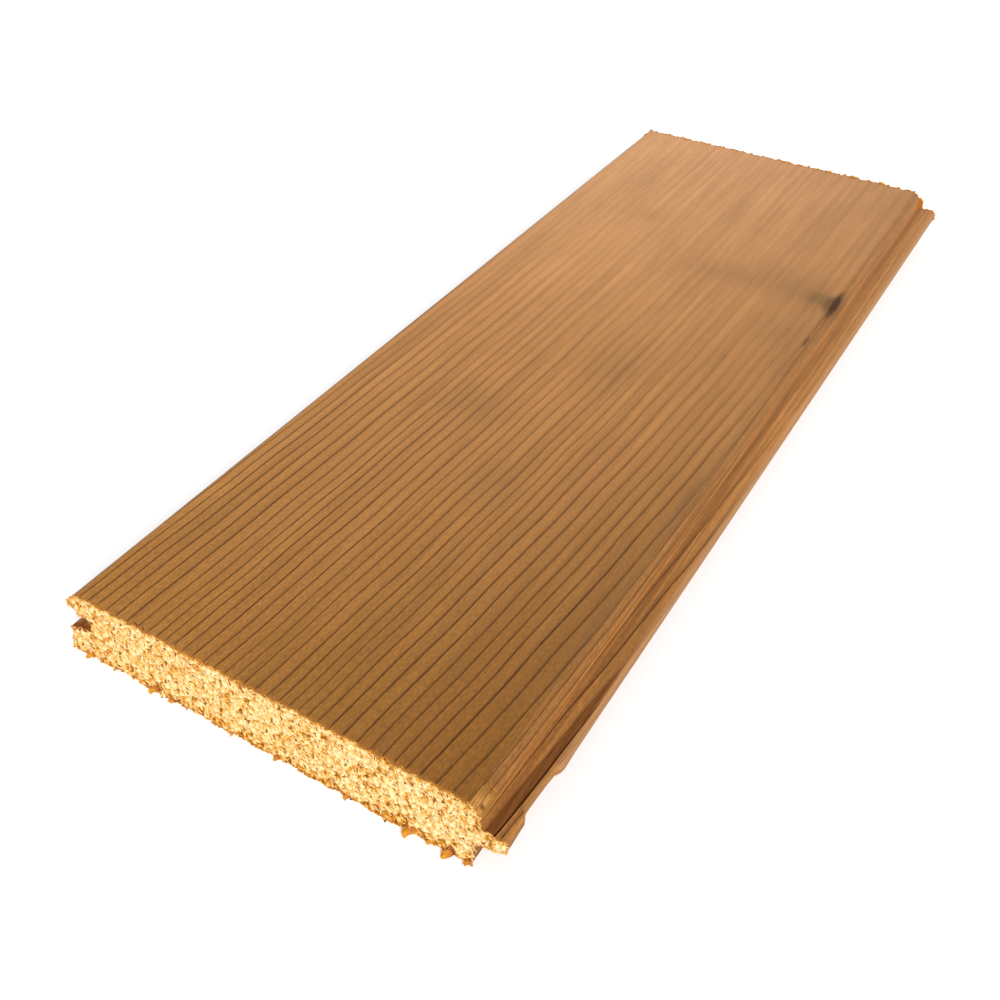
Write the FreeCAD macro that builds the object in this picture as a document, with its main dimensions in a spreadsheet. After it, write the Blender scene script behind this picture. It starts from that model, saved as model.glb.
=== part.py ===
"""V-joint lining board, one sawn and planed piece of softwood.

The board lies on its back with its face up. X runs across the width, with the
tongue on the +X side and the groove on the -X side. Y runs along the grain, and
the front end, where the tongue is split, is at -Y. Z points out of the face.
The origin is at the centre of the board's plan, on the back face.
"""
import FreeCAD
import Part
import Sketcher
import os

# Driving dimensions, in millimetres. Depths are measured down from the face.
DIMENSIONS = [
    ("board_length", 343.0, "length along the grain, as cut"),
    ("cover_width", 112.5, "width that one board covers, nose plane to shoulder plane"),
    ("board_thickness", 18.0, "face to back"),
    ("bevel_size", 2.5, "width and depth of the bevel at each edge of the face"),
    ("lip_depth", 4.2, "depth of the underside of the lip over the groove"),
    ("groove_mouth", 6.9, "height of the groove at its mouth"),
    ("groove_depth", 7.3, "depth of the groove into the edge"),
    ("mouth_flare", 1.2, "width and height of the flare at the top of the mouth"),
    ("upper_wall_fall", 0.8, "fall of the groove's upper wall, flare to bottom"),
    ("lower_wall_rise", 1.3, "rise of the groove's lower wall, mouth to bottom"),
    ("tongue_length", 6.5, "reach of the tongue beyond the shoulder"),
    ("top_clearance", 0.2, "play between the tongue and the groove's upper wall"),
    ("under_clearance", 0.5, "play between the tongue and the groove's lower wall"),
    ("back_relief", 1.2, "distance that the lower shoulder stands back"),
    ("root_radius", 1.0, "radius between shoulder and tongue"),
    ("nose_radius", 1.2, "radius on the tongue's nose"),
    ("corner_radius", 0.7, "radius in the bottom corners of the groove"),
    ("split_length", 46.0, "length of the split in the tongue, from the front end"),
    ("split_gap", 0.6, "width of the split at the front end"),
    ("splinter_width", 2.3, "width of the wood outside the split at the front end"),
    ("splinter_root", 0.7, "width of the wood outside the tip of the split"),
    ("chip_start", 8.0, "distance from the front end to the chip in the nose"),
    ("chip_length", 16.0, "length of the chip"),
    ("chip_depth", 0.8, "depth of the chip"),
]

# Sizes that follow from the driving dimensions.
WORKED_OUT = [
    ("nose_plane", "-(cover_width + tongue_length) / 2", "X of the lip's nose"),
    ("shoulder_plane", "nose_plane + cover_width", "X of the upper shoulder"),
    ("tongue_tip", "shoulder_plane + tongue_length", "X of the tongue's nose"),
    ("upper_slope", "upper_wall_fall / (groove_depth - mouth_flare)", "slope of the upper wall"),
    ("lower_slope", "lower_wall_rise / groove_depth", "slope of the lower wall"),
    (
        "tongue_top",
        "lip_depth + mouth_flare - upper_slope * mouth_flare + top_clearance",
        "depth of the tongue's top at the shoulder",
    ),
    (
        "tongue_under",
        "lip_depth + groove_mouth - under_clearance",
        "depth of the tongue's underside at the upper shoulder",
    ),
    ("front_end", "-board_length / 2", "Y of the front end"),
]

# Shares of the chip's length at which it reaches and leaves its full depth.
CHIP_IN_SHARE = 0.2
CHIP_OUT_SHARE = 0.75
# How far a cutting outline runs past the wood, so that it cuts cleanly.
CUT_MARGIN = 5.0
MATCH_TOLERANCE = 0.001

doc = FreeCAD.newDocument("lining_board")


def make_sheet():
    """Put the driving dimensions, and the sizes worked out from them, in a sheet."""
    sheet = doc.addObject("Spreadsheet::Sheet", "dims")
    row = 0
    for alias, value, note in DIMENSIONS:
        row += 1
        fill_row(sheet, row, alias, str(value), note)
    for alias, formula, note in WORKED_OUT:
        row += 1
        fill_row(sheet, row, alias, "=" + formula, note)
    doc.recompute()
    return sheet


def fill_row(sheet, row, alias, content, note):
    """Write one named value and its note."""
    sheet.set("A%d" % row, alias)
    sheet.setAlias("B%d" % row, alias)
    sheet.set("B%d" % row, content)
    sheet.set("C%d" % row, note)


def add_sketch(body, name, role):
    """Add a sketch on one of the body's own origin planes."""
    sketch = body.newObject("Sketcher::SketchObject", name)
    plane = [item for item in body.Origin.OriginFeatures if item.Role == role][0]
    sketch.AttachmentSupport = [(plane, "")]
    sketch.MapMode = "FlatFace"
    return sketch


def draw_outline(sketch, points):
    """Draw a closed outline of straight lines, each joined to the next."""
    corners = [FreeCAD.Vector(across, up, 0) for across, up in points]
    for index, corner in enumerate(corners):
        following = corners[(index + 1) % len(corners)]
        sketch.addGeometry(Part.LineSegment(corner, following), False)
    for index in range(len(corners)):
        following = (index + 1) % len(corners)
        sketch.addConstraint(Sketcher.Constraint("Coincident", index, 2, following, 1))


def bind(sketch, name, constraint, formula):
    """Add a named dimension and tie it to the sheet."""
    index = sketch.addConstraint(constraint)
    sketch.renameConstraint(index, name)
    sketch.setExpression("Constraints." + name, formula)


def span(sketch, name, kind, first, second, formula, size):
    """Tie the distance from one corner to another, along X or Y, to the sheet."""
    dimension = Sketcher.Constraint(kind, first, 1, second, 1, size)
    bind(sketch, name, dimension, formula)


def from_origin(sketch, name, kind, corner, formula, size):
    """Tie a corner's signed distance from the sketch's origin to the sheet."""
    dimension = Sketcher.Constraint(kind, -1, 1, corner, 1, size)
    bind(sketch, name, dimension, formula)


def section_corners(sheet):
    """Return the corners of the end section, anticlockwise from the back left."""
    lip_bottom = sheet.board_thickness - sheet.lip_depth
    tongue_top = sheet.board_thickness - sheet.tongue_top
    tongue_under = sheet.board_thickness - sheet.tongue_under
    lower_shoulder = sheet.shoulder_plane - sheet.back_relief
    bevel_foot = sheet.board_thickness - sheet.bevel_size
    groove_floor = lip_bottom - sheet.groove_mouth
    return [
        (sheet.nose_plane, 0),
        (lower_shoulder, 0),
        (lower_shoulder, tongue_under - sheet.lower_slope * sheet.back_relief),
        (sheet.tongue_tip, tongue_under + sheet.lower_slope * sheet.tongue_length),
        (sheet.tongue_tip, tongue_top - sheet.upper_slope * sheet.tongue_length),
        (sheet.shoulder_plane, tongue_top),
        (sheet.shoulder_plane, bevel_foot),
        (sheet.shoulder_plane - sheet.bevel_size, sheet.board_thickness),
        (sheet.nose_plane + sheet.bevel_size, sheet.board_thickness),
        (sheet.nose_plane, bevel_foot),
        (sheet.nose_plane, lip_bottom),
        (sheet.nose_plane + sheet.mouth_flare, lip_bottom - sheet.mouth_flare),
        (
            sheet.nose_plane + sheet.groove_depth,
            lip_bottom - sheet.mouth_flare - sheet.upper_wall_fall,
        ),
        (sheet.nose_plane + sheet.groove_depth, groove_floor + sheet.lower_wall_rise),
        (sheet.nose_plane, groove_floor),
    ]


# Corners of the section, in the order that section_corners gives them.
(
    BACK_LEFT,
    BACK_RIGHT,
    UNDER_ROOT,
    NOSE_UNDER,
    NOSE_TOP,
    TOP_ROOT,
    BEVEL_FOOT_RIGHT,
    ARRIS_RIGHT,
    ARRIS_LEFT,
    BEVEL_FOOT_LEFT,
    LIP_BOTTOM,
    FLARE_END,
    GROOVE_TOP,
    GROOVE_BOTTOM,
    LOWER_LIP,
) = range(15)

# Each dimension of the section: name, direction, two corners and its formula.
SECTION_SPANS = [
    ("cover", "DistanceX", BACK_LEFT, TOP_ROOT, "dims.cover_width"),
    ("tongue", "DistanceX", TOP_ROOT, NOSE_TOP, "dims.tongue_length"),
    ("relief", "DistanceX", BACK_RIGHT, TOP_ROOT, "dims.back_relief"),
    ("thickness", "DistanceY", BACK_LEFT, ARRIS_LEFT, "dims.board_thickness"),
    ("left_bevel_width", "DistanceX", BEVEL_FOOT_LEFT, ARRIS_LEFT, "dims.bevel_size"),
    ("left_bevel_depth", "DistanceY", BEVEL_FOOT_LEFT, ARRIS_LEFT, "dims.bevel_size"),
    ("right_bevel_width", "DistanceX", ARRIS_RIGHT, BEVEL_FOOT_RIGHT, "dims.bevel_size"),
    ("right_bevel_depth", "DistanceY", BEVEL_FOOT_RIGHT, ARRIS_RIGHT, "dims.bevel_size"),
    ("lip", "DistanceY", LIP_BOTTOM, ARRIS_LEFT, "dims.lip_depth"),
    ("flare_width", "DistanceX", LIP_BOTTOM, FLARE_END, "dims.mouth_flare"),
    ("flare_height", "DistanceY", FLARE_END, LIP_BOTTOM, "dims.mouth_flare"),
    ("groove", "DistanceX", LIP_BOTTOM, GROOVE_TOP, "dims.groove_depth"),
    ("mouth", "DistanceY", LOWER_LIP, LIP_BOTTOM, "dims.groove_mouth"),
    ("upper_fall", "DistanceY", GROOVE_TOP, FLARE_END, "dims.upper_wall_fall"),
    ("lower_rise", "DistanceY", LOWER_LIP, GROOVE_BOTTOM, "dims.lower_wall_rise"),
    ("top_root", "DistanceY", TOP_ROOT, ARRIS_RIGHT, "dims.tongue_top"),
    ("top_fall", "DistanceY", NOSE_TOP, TOP_ROOT, "dims.upper_slope * dims.tongue_length"),
    (
        "under_root",
        "DistanceY",
        UNDER_ROOT,
        ARRIS_RIGHT,
        "dims.tongue_under + dims.lower_slope * dims.back_relief",
    ),
    (
        "under_rise",
        "DistanceY",
        UNDER_ROOT,
        NOSE_UNDER,
        "dims.lower_slope * (dims.tongue_length + dims.back_relief)",
    ),
]
# Sides of the section that run straight across or straight up.
LEVEL_SIDES = [BACK_LEFT, ARRIS_RIGHT]
UPRIGHT_SIDES = [BACK_RIGHT, NOSE_UNDER, TOP_ROOT, BEVEL_FOOT_LEFT, GROOVE_TOP, LOWER_LIP]


def draw_section(sketch, sheet):
    """Draw the end section and tie each of its sizes to the sheet."""
    corners = section_corners(sheet)
    draw_outline(sketch, corners)
    for side in LEVEL_SIDES:
        sketch.addConstraint(Sketcher.Constraint("Horizontal", side))
    for side in UPRIGHT_SIDES:
        sketch.addConstraint(Sketcher.Constraint("Vertical", side))
    sketch.addConstraint(Sketcher.Constraint("Vertical", BACK_LEFT, 1, LIP_BOTTOM, 1))
    sketch.addConstraint(Sketcher.Constraint("PointOnObject", BACK_LEFT, 1, -1))
    left = corners[BACK_LEFT][0]
    from_origin(sketch, "nose", "DistanceX", BACK_LEFT, "dims.nose_plane", left)
    for name, kind, first, second, formula in SECTION_SPANS:
        axis = 0 if kind == "DistanceX" else 1
        size = corners[second][axis] - corners[first][axis]
        span(sketch, name, kind, first, second, formula, size)


def edges_along(shape, corners):
    """Return the names of the lengthwise edges that pass through the corners."""
    names = []
    for number, edge in enumerate(shape.Edges, start=1):
        start = edge.Vertexes[0].Point
        end = edge.Vertexes[-1].Point
        for across, up in corners:
            at_start = abs(start.x - across) + abs(start.z - up) < MATCH_TOLERANCE
            at_end = abs(end.x - across) + abs(end.z - up) < MATCH_TOLERANCE
            if at_start and at_end:
                names.append("Edge%d" % number)
    if len(names) != len(corners):
        raise RuntimeError("the section's corners don't match its edges")
    return names


def round_edges(body, name, base, corners, radius_name):
    """Round the lengthwise edges at the given corners of the section."""
    rounding = body.newObject("PartDesign::Fillet", name)
    rounding.Base = (base, edges_along(base.Shape, corners))
    rounding.setExpression("Radius", "dims." + radius_name)
    doc.recompute()
    return rounding


def draw_cut(sketch, corners, formulas):
    """Draw a cutting outline seen from above, each corner tied to the sheet."""
    draw_outline(sketch, corners)
    for index, (across, along) in enumerate(formulas):
        name = "corner_%d" % index
        from_origin(sketch, name + "_x", "DistanceX", index, across, corners[index][0])
        from_origin(sketch, name + "_y", "DistanceY", index, along, corners[index][1])


def cut_through(body, sketch, name):
    """Cut the sketch's outline through the wood above the back plane."""
    volume = body.Tip.Shape.Volume
    pocket = body.newObject("PartDesign::Pocket", name)
    pocket.Profile = sketch
    pocket.Type = "ThroughAll"
    pocket.Reversed = True
    doc.recompute()
    if pocket.Shape.Volume >= volume:
        raise RuntimeError(name + " removes no wood")
    sketch.Visibility = False
    return pocket


def make_split(body, sheet):
    """Cut the split that runs into the tongue from the front end."""
    outer = sheet.tongue_tip - sheet.splinter_width
    inner = outer - sheet.split_gap
    start = sheet.front_end - CUT_MARGIN
    tip = sheet.tongue_tip - sheet.splinter_root
    corners = [
        (inner, start),
        (outer, start),
        (outer, sheet.front_end),
        (tip, sheet.front_end + sheet.split_length),
        (inner, sheet.front_end),
    ]
    outer_formula = "dims.tongue_tip - dims.splinter_width"
    inner_formula = outer_formula + " - dims.split_gap"
    start_formula = "dims.front_end - %s" % CUT_MARGIN
    formulas = [
        (inner_formula, start_formula),
        (outer_formula, start_formula),
        (outer_formula, "dims.front_end"),
        ("dims.tongue_tip - dims.splinter_root", "dims.front_end + dims.split_length"),
        (inner_formula, "dims.front_end"),
    ]
    sketch = add_sketch(body, "split_outline", "XY_Plane")
    draw_cut(sketch, corners, formulas)
    return cut_through(body, sketch, "tongue_split")


def make_chip(body, sheet):
    """Break the chip out of the tongue's nose, outside the split."""
    outside = sheet.tongue_tip + CUT_MARGIN
    broken = sheet.tongue_tip - sheet.chip_depth
    start = sheet.front_end + sheet.chip_start
    stations = [
        (outside, 0, "dims.tongue_tip + %s" % CUT_MARGIN),
        (sheet.tongue_tip, 0, "dims.tongue_tip"),
        (broken, CHIP_IN_SHARE, "dims.tongue_tip - dims.chip_depth"),
        (broken, CHIP_OUT_SHARE, "dims.tongue_tip - dims.chip_depth"),
        (sheet.tongue_tip, 1, "dims.tongue_tip"),
        (outside, 1, "dims.tongue_tip + %s" % CUT_MARGIN),
    ]
    corners = []
    formulas = []
    for across, share, across_formula in reversed(stations):
        corners.append((across, start + share * sheet.chip_length))
        along = "dims.front_end + dims.chip_start + %s * dims.chip_length" % share
        formulas.append((across_formula, along))
    sketch = add_sketch(body, "chip_outline", "XY_Plane")
    draw_cut(sketch, corners, formulas)
    return cut_through(body, sketch, "nose_chip")


def make_board(sheet):
    """Make the board: its section, its rounded edges and the tongue's damage."""
    body = doc.addObject("PartDesign::Body", "lining_board_body")
    body.Label = "lining_board"
    section = add_sketch(body, "end_section", "XZ_Plane")
    draw_section(section, sheet)
    doc.recompute()
    stock = body.newObject("PartDesign::Pad", "planed_stock")
    stock.Profile = section
    stock.Midplane = True
    stock.setExpression("Length", "dims.board_length")
    section.Visibility = False
    doc.recompute()
    corners = section_corners(sheet)
    roots = [corners[TOP_ROOT], corners[UNDER_ROOT]]
    noses = [corners[NOSE_TOP], corners[NOSE_UNDER]]
    bottoms = [corners[GROOVE_TOP], corners[GROOVE_BOTTOM]]
    rooted = round_edges(body, "root_rounding", stock, roots, "root_radius")
    nosed = round_edges(body, "nose_rounding", rooted, noses, "nose_radius")
    round_edges(body, "groove_rounding", nosed, bottoms, "corner_radius")
    make_split(body, sheet)
    make_chip(body, sheet)
    return body


def check_document(bodies):
    """Stop if any object failed or any piece has no valid solid."""
    for item in doc.Objects:
        if "Invalid" in item.State or "Error" in item.State:
            raise RuntimeError(item.Name + " failed: " + str(item.State))
    for body in bodies:
        if body.Shape.isNull() or not body.Shape.isValid():
            raise RuntimeError(body.Label + " has no valid shape")


sheet = make_sheet()
bodies = [make_board(sheet)]
doc.recompute()
check_document(bodies)

os.makedirs("parts", exist_ok=True)
for body in bodies:
    body.Shape.exportStep("parts/" + body.Label + ".step")
    box = body.Shape.BoundBox
    print(body.Label, "solids", len(body.Shape.Solids), "volume", round(body.Shape.Volume, 1))
    print("box", round(box.XMin, 3), round(box.XMax, 3), round(box.YMin, 3), round(box.YMax, 3))
    print("height", round(box.ZMin, 3), round(box.ZMax, 3))
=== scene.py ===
"""The looks of a v-joint lining board: planed brown faces and pale, rough-sawn ends.

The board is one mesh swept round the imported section, with the split and torn wood of
its tongue in the shape. Node trees give the faces their ring relief, and set the torn
fibres and the edge splinters on the sawn ends. Lengths are in metres unless a name ends
in _MM, X runs across the board, Y along the grain from the front end, and Z up.
"""

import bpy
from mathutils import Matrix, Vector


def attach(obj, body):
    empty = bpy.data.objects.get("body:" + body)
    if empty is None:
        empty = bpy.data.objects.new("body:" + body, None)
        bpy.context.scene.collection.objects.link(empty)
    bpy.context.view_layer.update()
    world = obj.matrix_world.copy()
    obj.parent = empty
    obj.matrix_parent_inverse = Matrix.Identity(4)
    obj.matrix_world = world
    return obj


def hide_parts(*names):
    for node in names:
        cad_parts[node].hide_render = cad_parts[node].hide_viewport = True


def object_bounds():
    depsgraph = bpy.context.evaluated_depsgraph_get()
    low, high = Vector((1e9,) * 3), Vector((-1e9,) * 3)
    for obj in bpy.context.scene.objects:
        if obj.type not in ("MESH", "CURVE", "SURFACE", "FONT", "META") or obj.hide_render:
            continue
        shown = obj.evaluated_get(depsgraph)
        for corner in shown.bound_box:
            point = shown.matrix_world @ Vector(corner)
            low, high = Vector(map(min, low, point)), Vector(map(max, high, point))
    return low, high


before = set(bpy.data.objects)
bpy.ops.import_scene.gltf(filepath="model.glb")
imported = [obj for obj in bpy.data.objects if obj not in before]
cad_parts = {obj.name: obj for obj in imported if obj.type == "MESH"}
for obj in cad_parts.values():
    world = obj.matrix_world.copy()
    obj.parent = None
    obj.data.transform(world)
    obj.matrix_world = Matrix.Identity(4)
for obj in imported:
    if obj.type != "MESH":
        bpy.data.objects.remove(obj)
CAD_BOX = [list(corner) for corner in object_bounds()]

import math

import bmesh
import bpy
import numpy as np
from bpy.props import FloatProperty, FloatVectorProperty, IntProperty, PointerProperty
from bpy.types import Operator, Panel, PropertyGroup
from mathutils import Euler, Vector
from mathutils.geometry import delaunay_2d_cdt

bl_info = {
    "name": "Lining Board",
    "version": (1, 0, 0),
    "blender": (4, 5, 0),
    "location": "View3D > Sidebar > Lining Board",
    "description": "Builds a tongued and grooved v-joint lining board with rough-sawn ends",
    "category": "Add Mesh",
}

MM = 0.001
NODE = "lining_board"
BOARD = "lining_board_wood"
BODY = "root"
FRONT, REAR = CAD_BOX[0][1], CAD_BOX[1][1]
TOP = CAD_BOX[1][2]
NOSE = CAD_BOX[1][0]

# The right edge of the board: where its face ends, its shoulder stands and its tongue is free.
FACE_LEFT = -57.0 * MM
FACE_RIGHT = 50.5 * MM
SHOULDER = 53.0 * MM
BEVEL_FOOT = 15.5 * MM
TONGUE_ROOT_TOP = 53.6 * MM
TONGUE_ROOT_UNDER = 52.55 * MM

# Growth rings: place across the face at the front end, and the width of a ring there.
RING_WIDTHS_MM = (
    (-70, 2.8), (-57, 2.5), (-40, 3.5), (-31, 2.4), (-18, 3.3), (-9, 2.5), (-2, 3.4), (7, 2.3),
    (20, 3.6), (33, 2.8), (42, 4.0), (50, 3.7), (100, 3.7),
)
RING_OFFSET = 0.53
RING_TILT = 1.85
RING_DRIFT = 8.8 * MM
# The pieces stand this far above the floor.
FLOOR_CLEARANCE = 0.02 * MM
# Heights between which the tongue's nose lies, and where its broken wall starts and ends.
NOSE_TOP = 13.2 * MM
NOSE_UNDER = 7.0 * MM
BREAK_START = 8.8 * MM
BREAK_END = 23.7 * MM
RING_SPREAD = 0.066
RINGS_STRAIGHT_FROM = 120.0 * MM

# Stains on the face: place, reach across and along the grain, and strength.
STAINS_MM = (
    (24, 69.5, 24, 7.5, 0.3), (-26, 96, 6, 4.0, 0.25), (7, -9, 9, 16, 0.28),
    (-20, -47, 12, 9, 0.26), (5, -76, 9, 10, 0.20), (36, 80, 14, 8, 0.22),
    (-50, 20, 8, 60, 0.10), (44, 68.5, 7, 6.5, 0.35), (49, -55, 1.2, 12, 0.5),
    (49, -110, 1.2, 14, 0.5), (50.1, -50, 0.9, 95, 0.33), (42, 42, 9, 12, 0.2),
)

# The edge knot's marks on the face: place, reach across and along, cover and colour.
KNOT_MARKS_MM = (
    (46.0, 69.0, 5.0, 5.5, 0.42, "#6e5830"),
    (49.2, 67.5, 2.0, 8.0, 0.6, "#50391c"),
    (50.4, 40.5, 0.6, 5.5, 0.7, "#5e3a1e"),
    (50.5, 54.0, 0.45, 11.0, 0.55, "#583a1c"),
    (52.0, 68.0, 2.4, 15.0, 0.45, "#70481f"),
    (51.3, 35.0, 0.8, 60.0, 0.35, "#7d4a20"),
    (51.0, 68.5, 1.3, 12.0, 0.93, "#351c08"),
    (52.3, -169.4, 0.55, 1.0, 0.85, "#4a2a0c"),
)

# The broken edge of the tongue's nose: distance from the front end, and how far it stands out.
NOSE_OUTLINE_MM = (
    (0.0, -0.2), (3.0, -0.4), (8.7, -0.5), (9.5, -1.7), (15.0, -1.6), (20.0, -1.4),
    (23.5, -1.15), (24.1, -0.2), (25.5, 0.15), (31.0, 0.0),
)

# How light the milled wood is: across the board, up it, reach of each, and tone.
MILLED_TONES_MM = (
    # The row at 53.1 across and 14.0 up draws the shoulder wall half as light again: painted
    # light, so that this sideways wall looks as lit as the bevel.
    (50.9, 17.5, 0.8, 0.9, 0.88), (53.1, 14.0, 0.7, 1.2, 1.5), (53.9, 12.2, 1.1, 0.9, 1.0),
    (57.0, 12.0, 2.4, 0.8, 1.17),
    (59.6, 10.2, 0.8, 1.8, 1.35),
)

# Splinters on the front end's bottom edge: root across and up, width, height, reach and sway.
BLOCKS_MM = (
    (-53.4, 0.9, 1.6, 1.6, 1.7, -0.4), (-45.8, 0.6, 1.1, 1.0, 1.0, 0.0),
    (-33.2, 1.0, 2.6, 1.5, 1.7, -0.6), (-27.4, 0.7, 2.0, 1.3, 1.4, -0.5),
    (-10.5, 0.5, 1.2, 1.0, 1.2, 0.3), (2.5, 0.6, 1.6, 1.1, 1.3, -0.3),
    (21.0, 0.6, 1.4, 1.2, 1.4, 0.2), (37.1, 1.1, 2.4, 1.8, 2.6, -0.3),
    (41.9, 0.8, 1.5, 1.2, 1.3, 0.0), (46.7, 1.0, 2.6, 1.8, 2.2, -0.3),
    (51.2, 0.7, 1.4, 1.1, 1.4, -0.4),
)

# Splinters that stand out beyond the rear end's top edge, listed in the same way.
REAR_BLOCKS_MM = (
    (-49.0, 17.6, 5.0, 1.1, 0.9, 0.0), (-41.0, 17.6, 5.0, 1.1, 0.7, 0.3),
    (2.0, 17.6, 4.0, 1.1, 1.0, 0.3), (12.9, 17.7, 2.2, 1.3, 1.8, 0.0),
    (20.0, 17.6, 3.0, 1.1, 1.2, 0.2), (26.7, 17.7, 2.8, 1.4, 2.8, 0.0),
    (32.5, 17.6, 2.6, 1.1, 1.3, -0.2), (37.6, 17.7, 3.0, 1.4, 3.0, 0.0),
    (42.5, 17.6, 2.6, 1.1, 1.2, 0.0), (48.6, 17.2, 3.6, 1.8, 1.8, 0.4),
    (53.0, 14.2, 3.4, 5.4, 1.1, 0.3),
)

# Loose fibres by the torn corner, on the face's edge and on the groove's lower lip: foot, tip
# and thickness.
LOOSE_FIBRES_MM = (
    ((50.6, -164.5, 18.1), (51.7, -164.7, 16.9), 0.22),
    ((51.6, -164.6, 17.0), (52.8, -164.2, 15.8), 0.22),
    ((51.9, -164.5, 16.6), (52.6, -166.1, 16.7), 0.20),
    ((-39.0, -170.6, 18.0), (-35.9, -171.7, 18.2), 0.34),
    ((-36.4, -170.6, 17.9), (-34.4, -172.3, 18.1), 0.40),
    ((-32.9, -170.9, 17.8), (-33.4, -172.4, 18.1), 0.36),
    ((-58.6, -171.4, 6.7), (-58.9, -166.4, 6.6), 1.2),
    ((-57.4, -171.7, 7.0), (-57.0, -165.2, 6.8), 1.5),
    ((-56.3, -171.1, 7.5), (-56.0, -166.3, 7.0), 1.0),
    ((-55.2, -171.6, 7.6), (-55.6, -165.6, 7.2), 1.5),
    ((-54.2, -170.8, 8.1), (-54.4, -166.0, 7.8), 1.0),
)

# How much of the late wood's colour a ring line has at the front and at the rear.
LINE_NEAR = 1.0
LINE_FAR = 0.09

PLANED, MILLED, SAWN, SPLIT = range(4)


def linear(hex_colour):
    """Turn an sRGB hex colour into the linear RGB that shaders use."""
    channels = [int(hex_colour[place:place + 2], 16) / 255 for place in (1, 3, 5)]
    return tuple(c / 12.92 if c <= 0.04045 else ((c + 0.055) / 1.055) ** 2.4 for c in channels)


def length_prop(name, description, size_mm):
    """A length that a user can change, given in millimetres."""
    return FloatProperty(
        name=name, description=description, default=size_mm * MM, unit="LENGTH", precision=5)


def colour_prop(name, description, hex_colour):
    """A colour that a user can change, given as sRGB hex."""
    return FloatVectorProperty(
        name=name, description=description, default=linear(hex_colour),
        subtype="COLOR", size=3, min=0.0, max=1.0)


class BoardSizes(PropertyGroup):
    """Spacings of the board's mesh, and the sizes of its relief and damage."""

    face_step: length_prop("Face step", "Spacing of points across the face", 0.5)
    back_step: length_prop("Back step", "Spacing of points across the back", 2.5)
    edge_step: length_prop("Edge step", "Spacing of points round the tongue and groove", 0.45)
    damage_step: length_prop("Damage step", "Spacing along the grain at the broken nose", 0.6)
    broken_length: length_prop("Broken length", "Front end to the end of the broken nose", 31.0)
    length_step: length_prop("Length step", "Spacing along the grain elsewhere", 3.4)
    front_step: length_prop("Front end step", "Spacing of points on the front end", 0.4)
    rear_step: length_prop("Rear end step", "Spacing of points on the rear end", 0.6)
    ring_relief: length_prop("Ring relief", "Rise of the late wood on the planed face", 0.03)
    split_length: length_prop("Split length", "Length of the split in the tongue", 46.0)
    split_gap: length_prop("Split gap", "Width of the split near the front end", 0.6)
    splinter_width: length_prop("Splinter width", "Wood outside the split at the front", 3.05)
    splinter_root: length_prop("Splinter root", "Wood outside the tip of the split", 0.7)
    tear_length: length_prop("Tear length", "Length of the strip torn off the tongue's top", 57.0)
    tear_depth: length_prop("Tear depth", "Depth of the strip torn off the tongue's top", 0.4)
    patch_length: length_prop("Patch length", "Length of the torn corner of the bevel", 7.0)
    patch_depth: length_prop("Patch depth", "Depth of the torn corner of the bevel", 0.3)


class EndSizes(PropertyGroup):
    """Sizes of the lumps, pits, torn fibres and splinters of the sawn ends."""

    lump_spacing: length_prop("Lump spacing", "Distance between lumps of torn wood", 1.9)
    lump_height: length_prop("Lump height", "Rise of a lump above the hollows round it", 0.75)
    fine_relief: length_prop("Fine relief", "Roughness of the lumps", 0.14)
    pit_spacing: length_prop("Pit spacing", "Distance between pits torn into the ends", 2.8)
    pit_radius: length_prop("Pit radius", "Radius of a pit", 0.5)
    pit_depth: length_prop("Pit depth", "Depth of a pit", 0.3)
    tuft_spacing: length_prop("Tuft spacing", "Least distance between tufts of fibre", 0.95)
    tuft_length: length_prop("Tuft length", "Length of a tuft of fibre", 1.15)
    tuft_width: length_prop("Tuft width", "Width of a tuft of fibre", 0.9)
    hair_spacing: length_prop("Hair spacing", "Least distance between single fibres", 1.4)
    hair_length: length_prop("Hair length", "Length of a single fibre", 1.2)
    hair_width: length_prop("Hair width", "Width of a single fibre", 0.2)
    rear_spacing: length_prop("Rear spacing", "Least distance between tufts at the rear", 1.0)
    fringe_spacing: length_prop("Fringe spacing", "Distance between edge splinters", 0.6)
    fringe_length: length_prop("Fringe length", "Length of an edge splinter", 0.6)
    lean: FloatProperty(
        name="Lean", description="Angle from upright that the saw laid the fibres over to",
        default=math.radians(50), subtype="ANGLE")
    lift: FloatProperty(
        name="Lift", description="Angle at which the fibres stand off the sawn end",
        default=math.radians(17), subtype="ANGLE")
    seed: IntProperty(name="Seed", description="Seed of the random places and sizes", default=7)


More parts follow.
